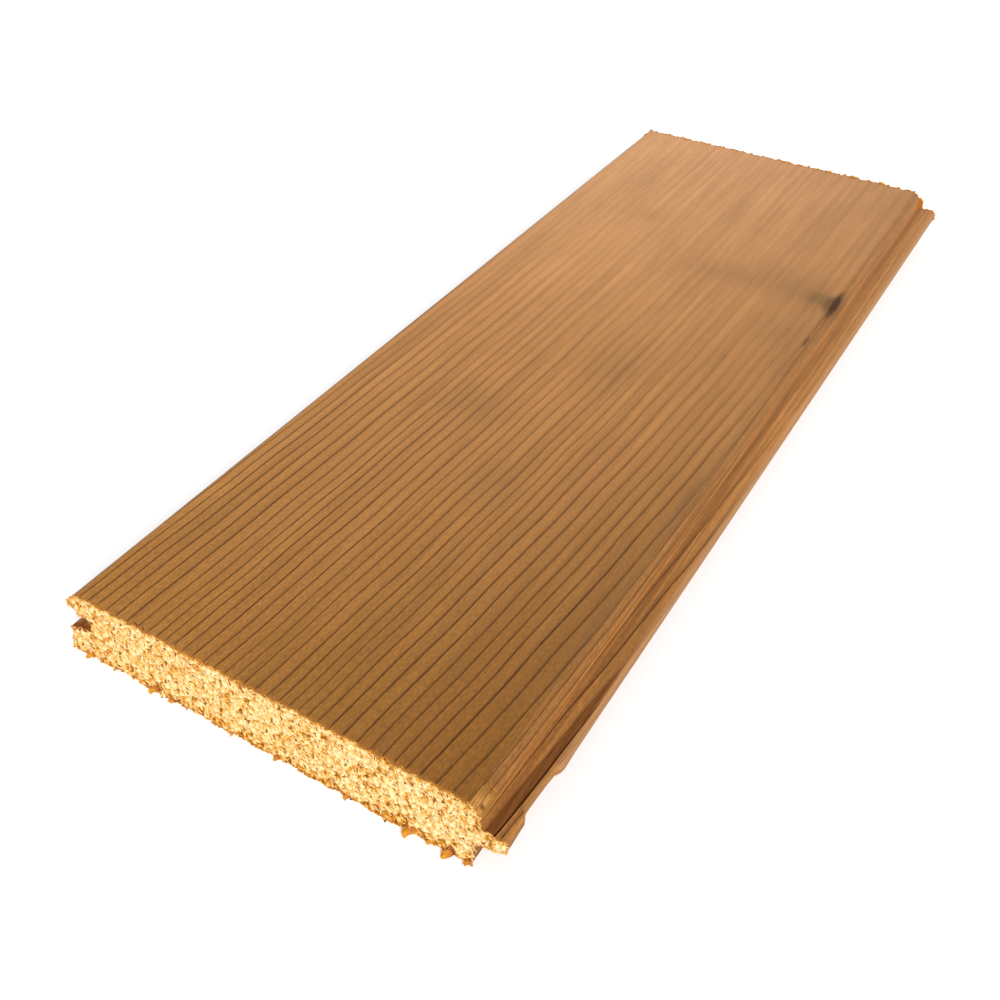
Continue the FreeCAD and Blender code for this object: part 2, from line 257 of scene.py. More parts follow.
class BoardColours(PropertyGroup):
    """Colours of the wood and of the stage."""

    # The front, middle and rear colours grow lighter towards the rear: painted light, standing for
    # light and its sheen from behind the board.
    near: colour_prop("Front wood", "Early wood at the front, on the left", "#ad7638")
    middle: colour_prop("Middle wood", "Early wood halfway along, on the left", "#c68b53")
    far: colour_prop("Rear wood", "Early wood at the rear, on the left", "#d8a06f")
    near_right: colour_prop("Front right wood", "Early wood at the front right", "#8d5c25")
    middle_right: colour_prop("Middle right wood", "Early wood halfway along, right", "#b27c46")
    far_right: colour_prop("Rear right wood", "Early wood at the rear right", "#bc8656")
    late: colour_prop("Late wood", "Thin dark line that ends each growth ring", "#4d2a08")
    bevel_near: colour_prop("Front bevel", "Cutter-planed wood at the front end", "#9c6732")
    bevel_middle: colour_prop("Middle bevel", "Cutter-planed wood halfway along", "#9f6d3b")
    bevel_far: colour_prop("Rear bevel", "Cutter-planed wood at the rear end", "#a47142")
    split: colour_prop("Split wood", "Red-brown wood inside the split", "#8a431c")
    # The torn colour also paints the shade in the tongue's inner corner.
    torn: colour_prop("Torn wood", "Brown wood under the torn surface", "#6c3d12")
    fresh: colour_prop("Fresh wood", "Pale wood where the corner tore away", "#cf9448")
    worn: colour_prop("Worn wood", "Duller, paler wood along the tongue's nose", "#b98a60")
    rim: colour_prop("Sawn rim", "Orange wood along the sawn edge of the face", "#c07c32")
    stain: colour_prop("Stain", "Grey-brown water marks on the face", "#6b5335")
    cream: colour_prop("Sawn cream", "Lightest fibres of the sawn ends", "#fde9b6")
    straw: colour_prop("Sawn straw", "Most of the wood of the sawn ends", "#f7ce80")
    # The amber and pit colours also paint the shade in the hollows and pits of the sawn ends.
    amber: colour_prop("Sawn amber", "Amber wood between the lumps", "#d8952c")
    pit: colour_prop("Sawn pit", "Brown bottoms of the pits", "#935812")
    floor: colour_prop("Floor", "Pale studio floor", "#f4f4f4")


def ease(share):
    """Ease from 0 to 1 as the share does, held level outside that range."""
    share = np.clip(share, 0.0, 1.0)
    return share * share * (3.0 - 2.0 * share)


def ring_count(x, y, z):
    """Growth rings counted from the left, anywhere in the wood."""
    places, widths = np.array(RING_WIDTHS_MM).T
    scale = np.arange(places[0], places[-1], 0.05)
    count = np.cumsum(0.05 / np.interp(scale, places, widths)) + RING_OFFSET
    across = x + RING_TILT * (TOP - z)
    share = np.clip((RINGS_STRAIGHT_FROM - y) / (RINGS_STRAIGHT_FROM - FRONT), 0.0, None)
    drift = (RING_DRIFT + RING_SPREAD * across) * (1.0 - share ** 2)
    wobble = 0.12 * np.sin(y / (7.6 * MM) + across / (11 * MM) + 1.0)
    wobble += 0.05 * np.sin(y / (3.7 * MM) - across / (5 * MM))
    return np.interp((across - drift) / MM + wobble, scale, count)


def add_node(tree, kind, settings=None, inputs=None):
    """Add a node with its settings, and give each input a value or link it to an output."""
    node = tree.nodes.new(kind)
    for name, value in (settings or {}).items():
        setattr(node, name, value)
    for key, value in (inputs or {}).items():
        if isinstance(key, int):
            socket = node.inputs[key]
        else:
            socket = next(s for s in node.inputs if s.name == key and s.enabled)
        if isinstance(value, bpy.types.NodeSocket):
            tree.links.new(value, socket)
        else:
            socket.default_value = value
    return node


def new_material(name):
    """An empty node material and its tree."""
    material = bpy.data.materials.new(name)
    material.use_nodes = True
    material.node_tree.nodes.clear()
    return material, material.node_tree


def set_ramp(node, stops):
    """Give a colour ramp its stops, each a place and a linear colour or a grey."""
    ramp = node.color_ramp
    while len(ramp.elements) < len(stops):
        ramp.elements.new(0.5)
    for element, (place, colour) in zip(ramp.elements, stops):
        element.position = place
        rgb = (colour,) * 3 if isinstance(colour, (int, float)) else tuple(colour)
        element.color = (*rgb, 1.0)


def section_loop():
    """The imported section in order: up the groove side, across the face and down the tongue."""
    merged = bmesh.new()
    merged.from_mesh(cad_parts[NODE].data)
    bmesh.ops.remove_doubles(merged, verts=merged.verts, dist=0.001 * MM)
    at_rear = {v for v in merged.verts if abs(v.co.y - REAR) < 0.001 * MM}
    caps = {f for f in merged.faces if all(v in at_rear for v in f.verts)}
    neighbours = {}
    for edge in merged.edges:
        if sum(f in caps for f in edge.link_faces) == 1:
            first, second = edge.verts
            neighbours.setdefault(first, []).append(second)
            neighbours.setdefault(second, []).append(first)
    start = min(neighbours, key=lambda v: (round(v.co.z, 6), v.co.x))
    loop = [start, max(neighbours[start], key=lambda v: v.co.z)]
    while loop[-1] is not start:
        before, here = loop[-2:]
        loop.append(next(v for v in neighbours[here] if v is not before))
    points = np.array([(v.co.x, v.co.z) for v in loop[:-1]])
    merged.free()
    return points


def run_step(sizes, start, end):
    """Spacing of points on a straight run of the section, by which surface it is."""
    if min(start[1], end[1]) > TOP - 0.01 * MM:
        return sizes.face_step
    if max(start[1], end[1]) < 0.01 * MM:
        return sizes.back_step
    return sizes.edge_step


def fill_runs(points, sizes):
    """Divide the straight runs of an open chain of section points."""
    filled = [points[0]]
    for start, end in zip(points, points[1:]):
        count = max(1, round(math.dist(start, end) / run_step(sizes, start, end)))
        filled.extend(start + (end - start) * part / count for part in range(1, count + 1))
    return np.array(filled)


class Tongue:
    """The free part of the tongue, from its root on top, round the nose, to its root below."""

    def __init__(self, chain):
        self.chain = chain
        gaps = np.hypot(*np.diff(chain, axis=0).T)
        self.travel = np.concatenate(([0.0], np.cumsum(gaps)))
        self.nose = int(np.argmax(chain[:, 0]))

    def travel_at(self, x, below):
        """Distance round the chain at which it is at x, on the top or below."""
        half = slice(self.nose, None) if below else slice(None, self.nose + 1)
        xs, travels = self.chain[half, 0], self.travel[half]
        if below:
            xs, travels = xs[::-1], travels[::-1]
        return np.interp(x, xs, travels)

    def points(self, start, end, count):
        """Evenly spaced points from one distance round the chain to another."""
        places = np.linspace(start, end, count)
        return np.column_stack([
            np.interp(places, self.travel, self.chain[:, 0]),
            np.interp(places, self.travel, self.chain[:, 1]),
        ])


def stations(sizes):
    """Distances from the front end at which the section is set, closer by the damage."""
    close = np.array([0.0, 0.4, 0.9, 1.6, 2.5, 4.0]) * MM
    length = REAR - FRONT
    places = list(close)
    stretches = (
        (sizes.broken_length, sizes.damage_step),
        (sizes.split_length, 2 * sizes.damage_step),
        (sizes.tear_length + 4 * MM, 3 * sizes.damage_step),
        (length - close[-1], sizes.length_step),
    )
    for end, step in stretches:
        steps = round((end - places[-1]) / step)
        places += list(np.linspace(places[-1], end, steps + 1)[1:])
    return places + list(length - close[-2::-1])


class BoardMesh:
    """The points and faces of the board, gathered section by section."""

    TOP_COUNT = 10
    NOSE_COUNT = 17
    WALL_COUNT = 5

    def __init__(self, sizes):
        self.sizes = sizes
        self.points = []
        self.faces = []
        self.finishes = []
        loop = section_loop()
        is_free = (loop[:, 0] > TONGUE_ROOT_UNDER) & (loop[:, 1] < 13.0 * MM)
        is_free &= ~((loop[:, 0] < TONGUE_ROOT_TOP) & (loop[:, 1] > 10.0 * MM))
        free = np.flatnonzero(is_free)
        first, last = free[0], free[-1]
        self.lead = fill_runs(loop[:first + 1], sizes)
        self.tongue = Tongue(loop[first:last + 1])
        self.tail = fill_runs(np.vstack([loop[last:], loop[:1]]), sizes)[:-1]

    def add_points(self, section, y):
        """Add the points of a section chain at a distance along the grain."""
        start = len(self.points)
        self.points.extend((x, FRONT + y, z) for x, z in section)
        return list(range(start, len(self.points)))

    def add_wall(self, top, under, y):
        """Points down one wall of the split, between its top and bottom points."""
        ends = np.array([(self.points[i][0], self.points[i][2]) for i in (top, under)])
        parts = np.linspace(0.0, 1.0, self.WALL_COUNT + 2)[1:-1, None]
        return [top] + self.add_points(ends[0] + (ends[1] - ends[0]) * parts, y) + [under]

    def crack(self, y):
        """Where the inner and outer walls of the split stand at a distance along the grain."""
        share = min(y / self.sizes.split_length, 1.0)
        width = self.sizes.splinter_width - self.sizes.splinter_root
        outer = NOSE - self.sizes.splinter_width + width * share ** 0.75
        gap = self.sizes.split_gap * (1.0 - share) ** 0.6 * (0.8 + 0.6 * share)
        return outer - gap, outer

    def station(self, y):
        """Add one section, and return its chains of point numbers."""
        tongue = self.tongue
        inner, outer = self.crack(y)
        tip = self.sizes.split_length
        is_split = y < tip - 0.01 * MM
        top_in, top_out = (tongue.travel_at(x, False) for x in (inner, outer))
        under_in, under_out = (tongue.travel_at(x, True) for x in (inner, outer))
        top = tongue.points(0.0, top_in, self.TOP_COUNT)
        under = tongue.points(under_in, tongue.travel[-1], self.TOP_COUNT)
        nose = self.add_points(tongue.points(top_out, under_out, self.NOSE_COUNT), y)
        lead = self.add_points(self.lead, y) + self.add_points(top[1:-1], y)
        tail = self.add_points(under[1:-1], y) + self.add_points(self.tail, y)
        ends = self.add_points((top[-1], under[0]), y) if is_split else (nose[0], nose[-1])
        row = {"lead": lead + [ends[0]], "nose": nose, "tail": [ends[1]] + tail,
               "split": is_split}
        if y < tip + 0.01 * MM:
            row["inner"] = row["outer"] = self.add_wall(nose[0], nose[-1], y)
        if is_split:
            row["inner"] = self.add_wall(*ends, y)
        return row

    def finish_of(self, first, second):
        """Which finish the strip between two neighbouring points of a section has."""
        is_face = min(self.points[first][2], self.points[second][2]) > TOP - 0.01 * MM
        is_back = max(self.points[first][2], self.points[second][2]) < 0.01 * MM
        return PLANED if is_face or is_back else MILLED

    def join(self, near, far, finish=None):
        """Quads between one chain of points and the next section's chain."""
        for a, b, c, d in zip(near, near[1:], far[1:], far):
            self.faces.append((a, b, c, d))
            self.finishes.append(self.finish_of(a, b) if finish is None else finish)

    def sweep(self):
        """Set every section and join each to the next."""
        rows = [self.station(y) for y in stations(self.sizes)]
        for near, far in zip(rows, rows[1:]):
            for chain in ("lead", "nose", "tail"):
                self.join(near[chain], far[chain])
            self.join([near["tail"][-1], near["lead"][0]], [far["tail"][-1], far["lead"][0]])
            if near["split"]:
                self.join(near["inner"], far["inner"], SPLIT)
                self.join(near["outer"][::-1], far["outer"][::-1], SPLIT)
        front = rows[0]
        step = self.sizes.front_step
        self.add_cap(front["lead"] + front["inner"][1:-1] + front["tail"], 0.0, step)
        self.add_cap(front["nose"] + front["outer"][-2:0:-1], 0.0, step)
        rear = rows[-1]
        whole = rear["lead"] + rear["nose"][1:-1] + rear["tail"]
        self.add_cap(whole, REAR - FRONT, self.sizes.rear_step)

    def add_cap(self, outline, y, step):
        """Close an end with a fine mesh of triangles, which the saw marks then shape."""
        edge = np.array([(self.points[i][0], self.points[i][2]) for i in outline]) / MM
        low, high = edge.min(0), edge.max(0)
        spread = step / MM
        chance = np.random.default_rng(11)
        columns = np.arange(low[0] + spread / 2, high[0], spread)
        heights = np.arange(low[1] + spread / 2, high[1], spread * 0.87)
        grid_x, grid_z = np.meshgrid(columns, heights)
        grid_x[1::2] += spread / 2
        inside = np.column_stack([grid_x.ravel(), grid_z.ravel()])
        inside += chance.uniform(-0.22, 0.22, inside.shape) * spread
        crossings = np.zeros(len(inside), int)
        for (x0, z0), (x1, z1) in zip(edge, np.roll(edge, -1, axis=0)):
            spans = (z0 > inside[:, 1]) != (z1 > inside[:, 1])
            reach = x0 + (inside[:, 1] - z0) * (x1 - x0) / ((z1 - z0) or 1.0)
            crossings += spans & (inside[:, 0] < reach)
        inside = inside[crossings % 2 == 1]
        nearest = np.min([np.hypot(*(inside - point).T) for point in edge], axis=0)
        inside = inside[nearest > 0.5 * spread]
        places = [Vector(p) for p in np.vstack([edge, inside])]
        ring = list(range(len(edge)))
        _, _, triangles, origins, _, _ = delaunay_2d_cdt(places, [], [ring], 1, 1e-5)
        numbers = outline + self.add_points(inside * MM, y)
        for triangle in triangles:
            self.faces.append(tuple(numbers[origins[i][0]] for i in triangle))
            self.finishes.append(SAWN)


def shape_damage(points, sizes):
    """Chip the nose, tear the strip off the tongue's top and tear the bevel's corner."""
    x, y, z = points.T
    along = y - FRONT
    from_shoulder = x - SHOULDER
    is_tongue = (from_shoulder > 0.2 * MM) & (z < NOSE_TOP) & (z > NOSE_UNDER)
    is_top = is_tongue & (z > 10.5 * MM)

    # The nose is broken back to a line, and stands out in a torn point past the break.
    break_along, break_out = np.array(NOSE_OUTLINE_MM).T * MM
    out = np.interp(along, break_along, break_out)
    limit = NOSE + np.minimum(out, 0.0)
    swell = np.maximum(out, 0.0) * ease((x - NOSE + 1.5 * MM) / (1.5 * MM))
    x = np.where(is_tongue, np.minimum(x, limit) + swell, x)

    share = along / sizes.tear_length
    line = 0.9 * MM + 4.0 * MM * np.clip(share, 0, 1) ** 1.3
    split_share = np.clip(along / sizes.split_length, 0, 1)
    inner_wall = NOSE - sizes.splinter_width - 0.6 * sizes.split_gap
    inner_wall += (sizes.splinter_width - sizes.splinter_root) * split_share ** 0.75
    torn = ease((from_shoulder - line) / (0.5 * MM)) * ease((1.0 - share) / 0.05)
    torn *= x < inner_wall + 0.05 * MM
    torn = np.where(is_top, torn, 0.0)
    fray = 0.7 + 0.3 * np.sin(x / (0.23 * MM) + along / (5 * MM))
    z = z - torn * fray * sizes.tear_depth

    # Pale wood shows on the torn corner of the bevel and along the unbroken nose.
    reach = sizes.patch_length * (0.9 + 0.1 * np.sin(x / (0.3 * MM)))
    fresh = ease((reach - along) / (0.8 * MM)) * ease((x - 50.1 * MM) / (0.4 * MM))
    is_bevel = (z > BEVEL_FOOT - 0.2 * MM) & (x < SHOULDER + 0.1 * MM)
    fresh = np.where(is_bevel, fresh, 0.0)
    fray = 0.6 + 0.4 * np.sin(x / (0.16 * MM) + along / (6 * MM))
    z = z - fresh * fray * sizes.patch_depth
    is_broken = (along > BREAK_START) & (along < BREAK_END)
    edge = ease((x - NOSE + 1.5 * MM) / (0.4 * MM)) * (along < BREAK_START)
    fresh = fresh + np.where(is_top, 0.45 * edge, 0.0)
    torn = torn + np.where(is_top & is_broken, 0.4, 0.0) * (x > inner_wall)
    fresh = fresh + 0.55 * (is_tongue & is_broken & (x > limit - 0.2 * MM))

    # The tongue's inner corner is given painted shade in the torn wood's brown, and the lip of the
    # groove at the front end is brown.
    corner = np.exp(-((x / MM - 54.0) / 1.0) ** 4 - ((z / MM - 12.2) / 0.9) ** 4)
    lip = (x < -49 * MM) & (z > 5.2 * MM) & (z < 9 * MM)
    torn = torn + 0.3 * corner + 0.3 * lip * ease((7.5 * MM - along) / (2 * MM))
    return np.column_stack([x, y, z]), torn, fresh


def worn_at(points):
    """How worn each point is: the nose of the tongue is duller than the rest."""
    x, y, z = points.T
    is_nose = (z < NOSE_TOP) & (z > NOSE_UNDER) & (y > FRONT + BREAK_END)
    return ease((x - NOSE + 1.3 * MM) / (0.5 * MM)) * is_nose


def tone_at(points):
    """How light the milled wood is at each point: painted light on the shoulder wall, a darker
    strip at the top of the bevel, a paler nose, and the tongue's inner corner kept at the plain
    tone.
    """
    x, y, z = points.T / MM
    tone = np.ones(len(points))
    for place_x, place_z, reach_x, reach_z, level in MILLED_TONES_MM:
        nearness = np.exp(-((x - place_x) / reach_x) ** 4 - ((z - place_z) / reach_z) ** 4)
        tone += (level - tone) * nearness
    # The middle of the tongue's top is lighter than its ends.
    is_top = (x > 53.8) & (z > 10.5) & (z < 13.2)
    tone *= 1.0 + 0.2 * is_top * np.exp(-((y + 3.0) / 28.0) ** 2)
    return np.where(z < (TOP - 0.2 * MM) / MM, tone, 1.0)


def stain_at(points):
    """How strongly each point is stained."""
    x, y, z = points.T / MM
    total = np.zeros(len(points))
    for place_x, place_y, reach_x, reach_y, strength in STAINS_MM:
        distance = np.hypot((x - place_x) / reach_x, (y - place_y) / reach_y)
        total += strength * np.exp(-distance ** 2)
    return np.where(z > 15, total, 0.0)


def store(mesh, name, values):
    """Keep a number for each point of a mesh under a name that materials read."""
    layer = mesh.attributes.new(name, "FLOAT", "POINT")
    layer.data.foreach_set("value", np.asarray(values, np.float32))


def end_cells(tree, place, spacing):
    """How far a place on a sawn end is from the middle of its cell, in cell widths."""
    axes = add_node(tree, "ShaderNodeSeparateXYZ", {}, {0: place})
    flat = add_node(tree, "ShaderNodeCombineXYZ", {},
                    {"X": axes.outputs["X"], "Y": axes.outputs["Z"]})
    scale = add_node(tree, "ShaderNodeMath", {"operation": "DIVIDE"}, {0: 1.0, 1: spacing})
    cells = add_node(tree, "ShaderNodeTexVoronoi", {"voronoi_dimensions": "2D"},
                     {"Vector": flat.outputs[0], "Scale": scale.outputs[0], "Randomness": 0.9})
    return cells.outputs["Distance"]


def relief_tree():
    """The tree that raises the late wood and tears the sawn ends into lumps and pits."""
    tree = bpy.data.node_groups.new("Planed And Sawn Relief", "GeometryNodeTree")
    face = tree.interface
    face.new_socket("Geometry", in_out="INPUT", socket_type="NodeSocketGeometry")
    for name in ("Ring Relief", "Lump Spacing", "Lump Height", "Fine Relief", "Pit Spacing",
                 "Pit Radius", "Pit Depth"):
        face.new_socket(name, in_out="INPUT", socket_type="NodeSocketFloat")
    face.new_socket("End Material", in_out="INPUT", socket_type="NodeSocketMaterial")
    face.new_socket("Geometry", in_out="OUTPUT", socket_type="NodeSocketGeometry")
    given = add_node(tree, "NodeGroupInput").outputs
    place = add_node(tree, "GeometryNodeInputPosition").outputs[0]
    normal = add_node(tree, "GeometryNodeInputNormal").outputs["Normal"]
    named = {}
    for name in ("ring", "planed", "sawn"):
        node = add_node(tree, "GeometryNodeInputNamedAttribute", {"data_type": "FLOAT"},
                        {"Name": name})
        named[name] = node.outputs[0]

    # Late wood stands a hair above the early wood that ends beside it.
    within = add_node(tree, "ShaderNodeMath", {"operation": "FRACT"}, {0: named["ring"]})
    rise = add_node(tree, "ShaderNodeMath", {"operation": "POWER"}, {0: within.outputs[0], 1: 3.0})
    rise = add_node(tree, "ShaderNodeMath", {"operation": "MULTIPLY"},
                    {0: rise.outputs[0], 1: given["Ring Relief"]})
    rise = add_node(tree, "ShaderNodeMath", {"operation": "MULTIPLY"},
                    {0: rise.outputs[0], 1: named["planed"]})
    raised = add_node(tree, "ShaderNodeVectorMath", {"operation": "SCALE"},
                      {0: normal, "Scale": rise.outputs[0]})

    # The saw leaves domed lumps, rough all over, with a pit torn out here and there.
    lump = end_cells(tree, place, given["Lump Spacing"])
    dome = add_node(tree, "ShaderNodeMapRange", {"interpolation_type": "SMOOTHSTEP"},
                    {"Value": lump, "From Min": 0.05, "From Max": 0.75, "To Min": 0.5,
                     "To Max": -0.5})
    dome = add_node(tree, "ShaderNodeMath", {"operation": "MULTIPLY"},
                    {0: dome.outputs[0], 1: given["Lump Height"]})
    grit = add_node(tree, "ShaderNodeTexNoise", {"noise_dimensions": "3D"},
                    {"Vector": place, "Scale": 1 / (0.7 * MM), "Detail": 2.0})
    grit = add_node(tree, "ShaderNodeMapRange", {},
                    {"Value": grit.outputs[0], "From Min": 0.3, "From Max": 0.7,
                     "To Min": -1.0, "To Max": 1.0})
    rough = add_node(tree, "ShaderNodeMath", {"operation": "MULTIPLY_ADD"},
                     {0: grit.outputs[0], 1: given["Fine Relief"], 2: dome.outputs[0]})
    rim = add_node(tree, "ShaderNodeMath", {"operation": "DIVIDE"},
                   {0: given["Pit Radius"], 1: given["Pit Spacing"]})
    pit = add_node(tree, "ShaderNodeMapRange", {},
                   {"Value": end_cells(tree, place, given["Pit Spacing"]),
                    "From Max": rim.outputs[0], "To Min": 1.0, "To Max": 0.0})
    pit = add_node(tree, "ShaderNodeMath", {"operation": "MULTIPLY"},
                   {0: pit.outputs[0], 1: given["Pit Depth"]})
    rough = add_node(tree, "ShaderNodeMath", {"operation": "SUBTRACT"},
                     {0: rough.outputs[0], 1: pit.outputs[0]})
    rough = add_node(tree, "ShaderNodeMath", {"operation": "MULTIPLY"},
                     {0: rough.outputs[0], 1: named["sawn"]})
    shift = add_node(tree, "ShaderNodeCombineXYZ", {}, {"Y": rough.outputs[0]})
    total = add_node(tree, "ShaderNodeVectorMath", {"operation": "ADD"},
                     {0: raised.outputs[0], 1: shift.outputs[0]})
    moved = add_node(tree, "GeometryNodeSetPosition", {},
                     {"Geometry": given["Geometry"], "Offset": total.outputs[0]})
    real = add_node(tree, "GeometryNodeRealizeInstances", {}, {0: moved.outputs[0]})
    number = add_node(tree, "GeometryNodeInputMaterialIndex")
    is_end = add_node(tree, "FunctionNodeCompare", {"data_type": "INT", "operation": "EQUAL"},
                      {"A": number.outputs[0], "B": SAWN})
    dressed = add_node(tree, "GeometryNodeSetMaterial", {},
                       {"Geometry": real.outputs[0], "Selection": is_end.outputs[0],
                        "Material": given["End Material"]})
    add_node(tree, "NodeGroupOutput", {}, {0: dressed.outputs[0]})
    return tree


def add_object(name, mesh):
    """Link a mesh as an object at the origin."""
    thing = bpy.data.objects.new(name, mesh)
    bpy.context.scene.collection.objects.link(thing)
    return thing


def run_tree(thing, tree, inputs):
    """Shape an object by a tree with these inputs, and keep the result as a plain mesh."""
    modifier = thing.modifiers.new(tree.name, "NODES")
    modifier.node_group = tree
    for socket in tree.interface.items_tree:
        if socket.in_out == "INPUT" and socket.name in inputs:
            modifier[socket.identifier] = inputs[socket.name]
    bpy.context.view_layer.update()
    graph = bpy.context.evaluated_depsgraph_get()
    shaped = bpy.data.meshes.new_from_object(thing.evaluated_get(graph), depsgraph=graph)
    thing.modifiers.remove(modifier)
    before = thing.data
    thing.data = shaped
    shaped.name = thing.name
    if before.users == 0:
        bpy.data.meshes.remove(before)
    return thing


def hand_over(thing, *nodes):
    """Tie a finished wooden piece to the frame."""
    if not thing.data.polygons:
        raise RuntimeError(f"{thing.name} came out empty")
    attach(thing, BODY)
    if nodes:
        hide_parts(*nodes)


def planed_wood(name, tones, colours, streak, streak_width, cut_marks, line_edge):
    """Oiled-looking heat-brown softwood, planed: satin, with thin dark ring lines."""
    material, tree = new_material(name)
    place = add_node(tree, "ShaderNodeTexCoord").outputs["Object"]
    axes = add_node(tree, "ShaderNodeSeparateXYZ", {}, {0: place}).outputs
    along = add_node(tree, "ShaderNodeMapRange", {},
                     {"Value": axes["Y"], "From Min": FRONT, "From Max": REAR}).outputs[0]
    # The base colour runs from the front to the rear and from left to right: it grows lighter
    # towards the rear, which is painted light standing for light and its sheen from behind the
    # board, and darker towards the right.
    sides = []
    for near, middle, far in tones:
        side = add_node(tree, "ShaderNodeValToRGB", {}, {0: along})
        set_ramp(side, ((0.03, near), (0.45, middle), (0.95, far)))
        sides.append(side.outputs["Color"])
    rightward = add_node(tree, "ShaderNodeMapRange", {},
                         {"Value": axes["X"], "From Min": FACE_LEFT, "From Max": FACE_RIGHT})
    rightward = add_node(tree, "ShaderNodeMath", {"operation": "POWER"},
                         {0: rightward.outputs[0], 1: 1.6})
    base = add_node(tree, "ShaderNodeMix", {"data_type": "RGBA"},
                    {"Factor": rightward.outputs[0], "A": sides[0], "B": sides[-1]})
    # The tone layer holds the painted light on the shoulder wall.
    value = add_node(tree, "ShaderNodeAttribute", {"attribute_name": "tone"}).outputs["Fac"]

    # Long streaks of lighter and darker wood, up to 3 mm wide and 80 mm long.
    broad_place = add_node(tree, "ShaderNodeMapping", {},
                           {"Vector": place,
                            "Scale": (1 / streak_width, 1 / (80 * MM), 1 / streak_width)})
    broad = add_node(tree, "ShaderNodeTexNoise", {},
                     {"Vector": broad_place.outputs[0], "Scale": 1.0, "Detail": 2.0})
    # Grain lines: real ones are near 0.05 mm wide, so they are drawn 0.35 mm wide to show.
    fine_place = add_node(tree, "ShaderNodeMapping", {},
                          {"Vector": place,
                           "Scale": (1 / (0.35 * MM), 1 / (7 * MM), 1 / (0.35 * MM))})
    fine = add_node(tree, "ShaderNodeTexNoise", {},
                    {"Vector": fine_place.outputs[0], "Scale": 1.0, "Detail": 3.0})
    # Pores: real ones are some 0.03 mm across, so the speckle is drawn 0.5 mm across to show.
    pore_place = add_node(tree, "ShaderNodeMapping", {},
                          {"Vector": place,
                           "Scale": (1 / (0.5 * MM), 1 / (1.5 * MM), 1 / (0.5 * MM))})
    pores = add_node(tree, "ShaderNodeTexNoise", {},
                     {"Vector": pore_place.outputs[0], "Scale": 1.0, "Detail": 2.0})
    clouds = add_node(tree, "ShaderNodeTexNoise", {},
                      {"Vector": place, "Scale": 1 / (28 * MM), "Detail": 2.0})
    for texture, amount in ((broad, streak), (fine, streak * 0.6), (clouds, 0.05)):
        part = add_node(tree, "ShaderNodeMapRange", {},
                        {"Value": texture.outputs[0], "From Min": 0.25, "From Max": 0.75,
                         "To Min": 1 - amount, "To Max": 1 + amount})
        value = add_node(tree, "ShaderNodeMath", {"operation": "MULTIPLY"},
                         {0: value, 1: part.outputs[0]}).outputs[0]
    speckle = add_node(tree, "ShaderNodeMapRange", {},
                       {"Value": pores.outputs[0], "From Min": 0.25, "From Max": 0.75,
                        "To Min": -1.0, "To Max": 1.0})
    nearness = add_node(tree, "ShaderNodeMapRange", {},
                        {"Value": along, "To Min": 1.0, "To Max": 0.0})
    nearness = add_node(tree, "ShaderNodeMath", {"operation": "POWER"},
                        {0: nearness.outputs[0], 1: 3.0})
    speckle_depth = add_node(tree, "ShaderNodeMath", {"operation": "MULTIPLY_ADD"},
                             {0: nearness.outputs[0], 1: 0.22, 2: 0.04})
    speckle = add_node(tree, "ShaderNodeMath", {"operation": "MULTIPLY_ADD"},
                       {0: speckle.outputs[0], 1: speckle_depth.outputs[0], 2: 1.0})
    value = add_node(tree, "ShaderNodeMath", {"operation": "MULTIPLY"},
                     {0: value, 1: speckle.outputs[0]}).outputs[0]
    toned = add_node(tree, "ShaderNodeVectorMath", {"operation": "SCALE"},
                     {0: base.outputs["Result"], "Scale": value})

    # Ring lines: dark late wood about 0.6 mm wide, each ring with its own strength.
    ring = add_node(tree, "ShaderNodeAttribute", {"attribute_name": "ring"}).outputs["Fac"]
    sway = add_node(tree, "ShaderNodeMapRange", {},
                    {"Value": fine.outputs[0], "To Min": -0.04, "To Max": 0.04})
    ring = add_node(tree, "ShaderNodeMath", {"operation": "ADD"}, {0: ring, 1: sway.outputs[0]})
    within = add_node(tree, "ShaderNodeMath", {"operation": "FRACT"}, {0: ring.outputs[0]})
    crisp = add_node(tree, "ShaderNodeValToRGB", {}, {0: within.outputs[0]})
    set_ramp(crisp, ((0.0, 0.5), (0.05, 0.0), (line_edge, 0.0), (0.88, 0.35), (0.93, 1.0),
                     (0.97, 1.0)))
    soft = add_node(tree, "ShaderNodeValToRGB", {}, {0: within.outputs[0]})
    set_ramp(soft, ((0.0, 0.7), (0.25, 0.0), (0.55, 0.0), (0.9, 1.0)))
    blur = add_node(tree, "ShaderNodeMapRange", {},
                    {"Value": along, "From Min": 0.1, "From Max": 0.9}).outputs[0]
    line = add_node(tree, "ShaderNodeMix", {"data_type": "FLOAT"},
                    {"Factor": blur, "A": crisp.outputs["Color"], "B": soft.outputs["Color"]})
    number = add_node(tree, "ShaderNodeMath", {"operation": "FLOOR"}, {0: ring.outputs[0]})
    draw = add_node(tree, "ShaderNodeTexWhiteNoise", {"noise_dimensions": "1D"},
                    {"W": number.outputs[0]})
    strength = add_node(tree, "ShaderNodeMapRange", {},
                        {"Value": draw.outputs["Value"], "To Min": 0.7, "To Max": 1.0})
    fade = add_node(tree, "ShaderNodeMapRange", {"interpolation_type": "SMOOTHSTEP"},
                    {"Value": along, "From Min": 0.1, "From Max": 0.75,
                     "To Min": LINE_NEAR, "To Max": LINE_FAR})
    amount = add_node(tree, "ShaderNodeMath", {"operation": "MULTIPLY"},
                      {0: strength.outputs[0], 1: fade.outputs[0]})
    amount = add_node(tree, "ShaderNodeMath", {"operation": "MULTIPLY"},
                      {0: amount.outputs[0], 1: line.outputs["Result"]})
    colour = add_node(tree, "ShaderNodeMix", {"data_type": "RGBA"},
                      {"Factor": amount.outputs[0], "A": toned.outputs[0],
                       "B": (*colours.late, 1)}).outputs["Result"]
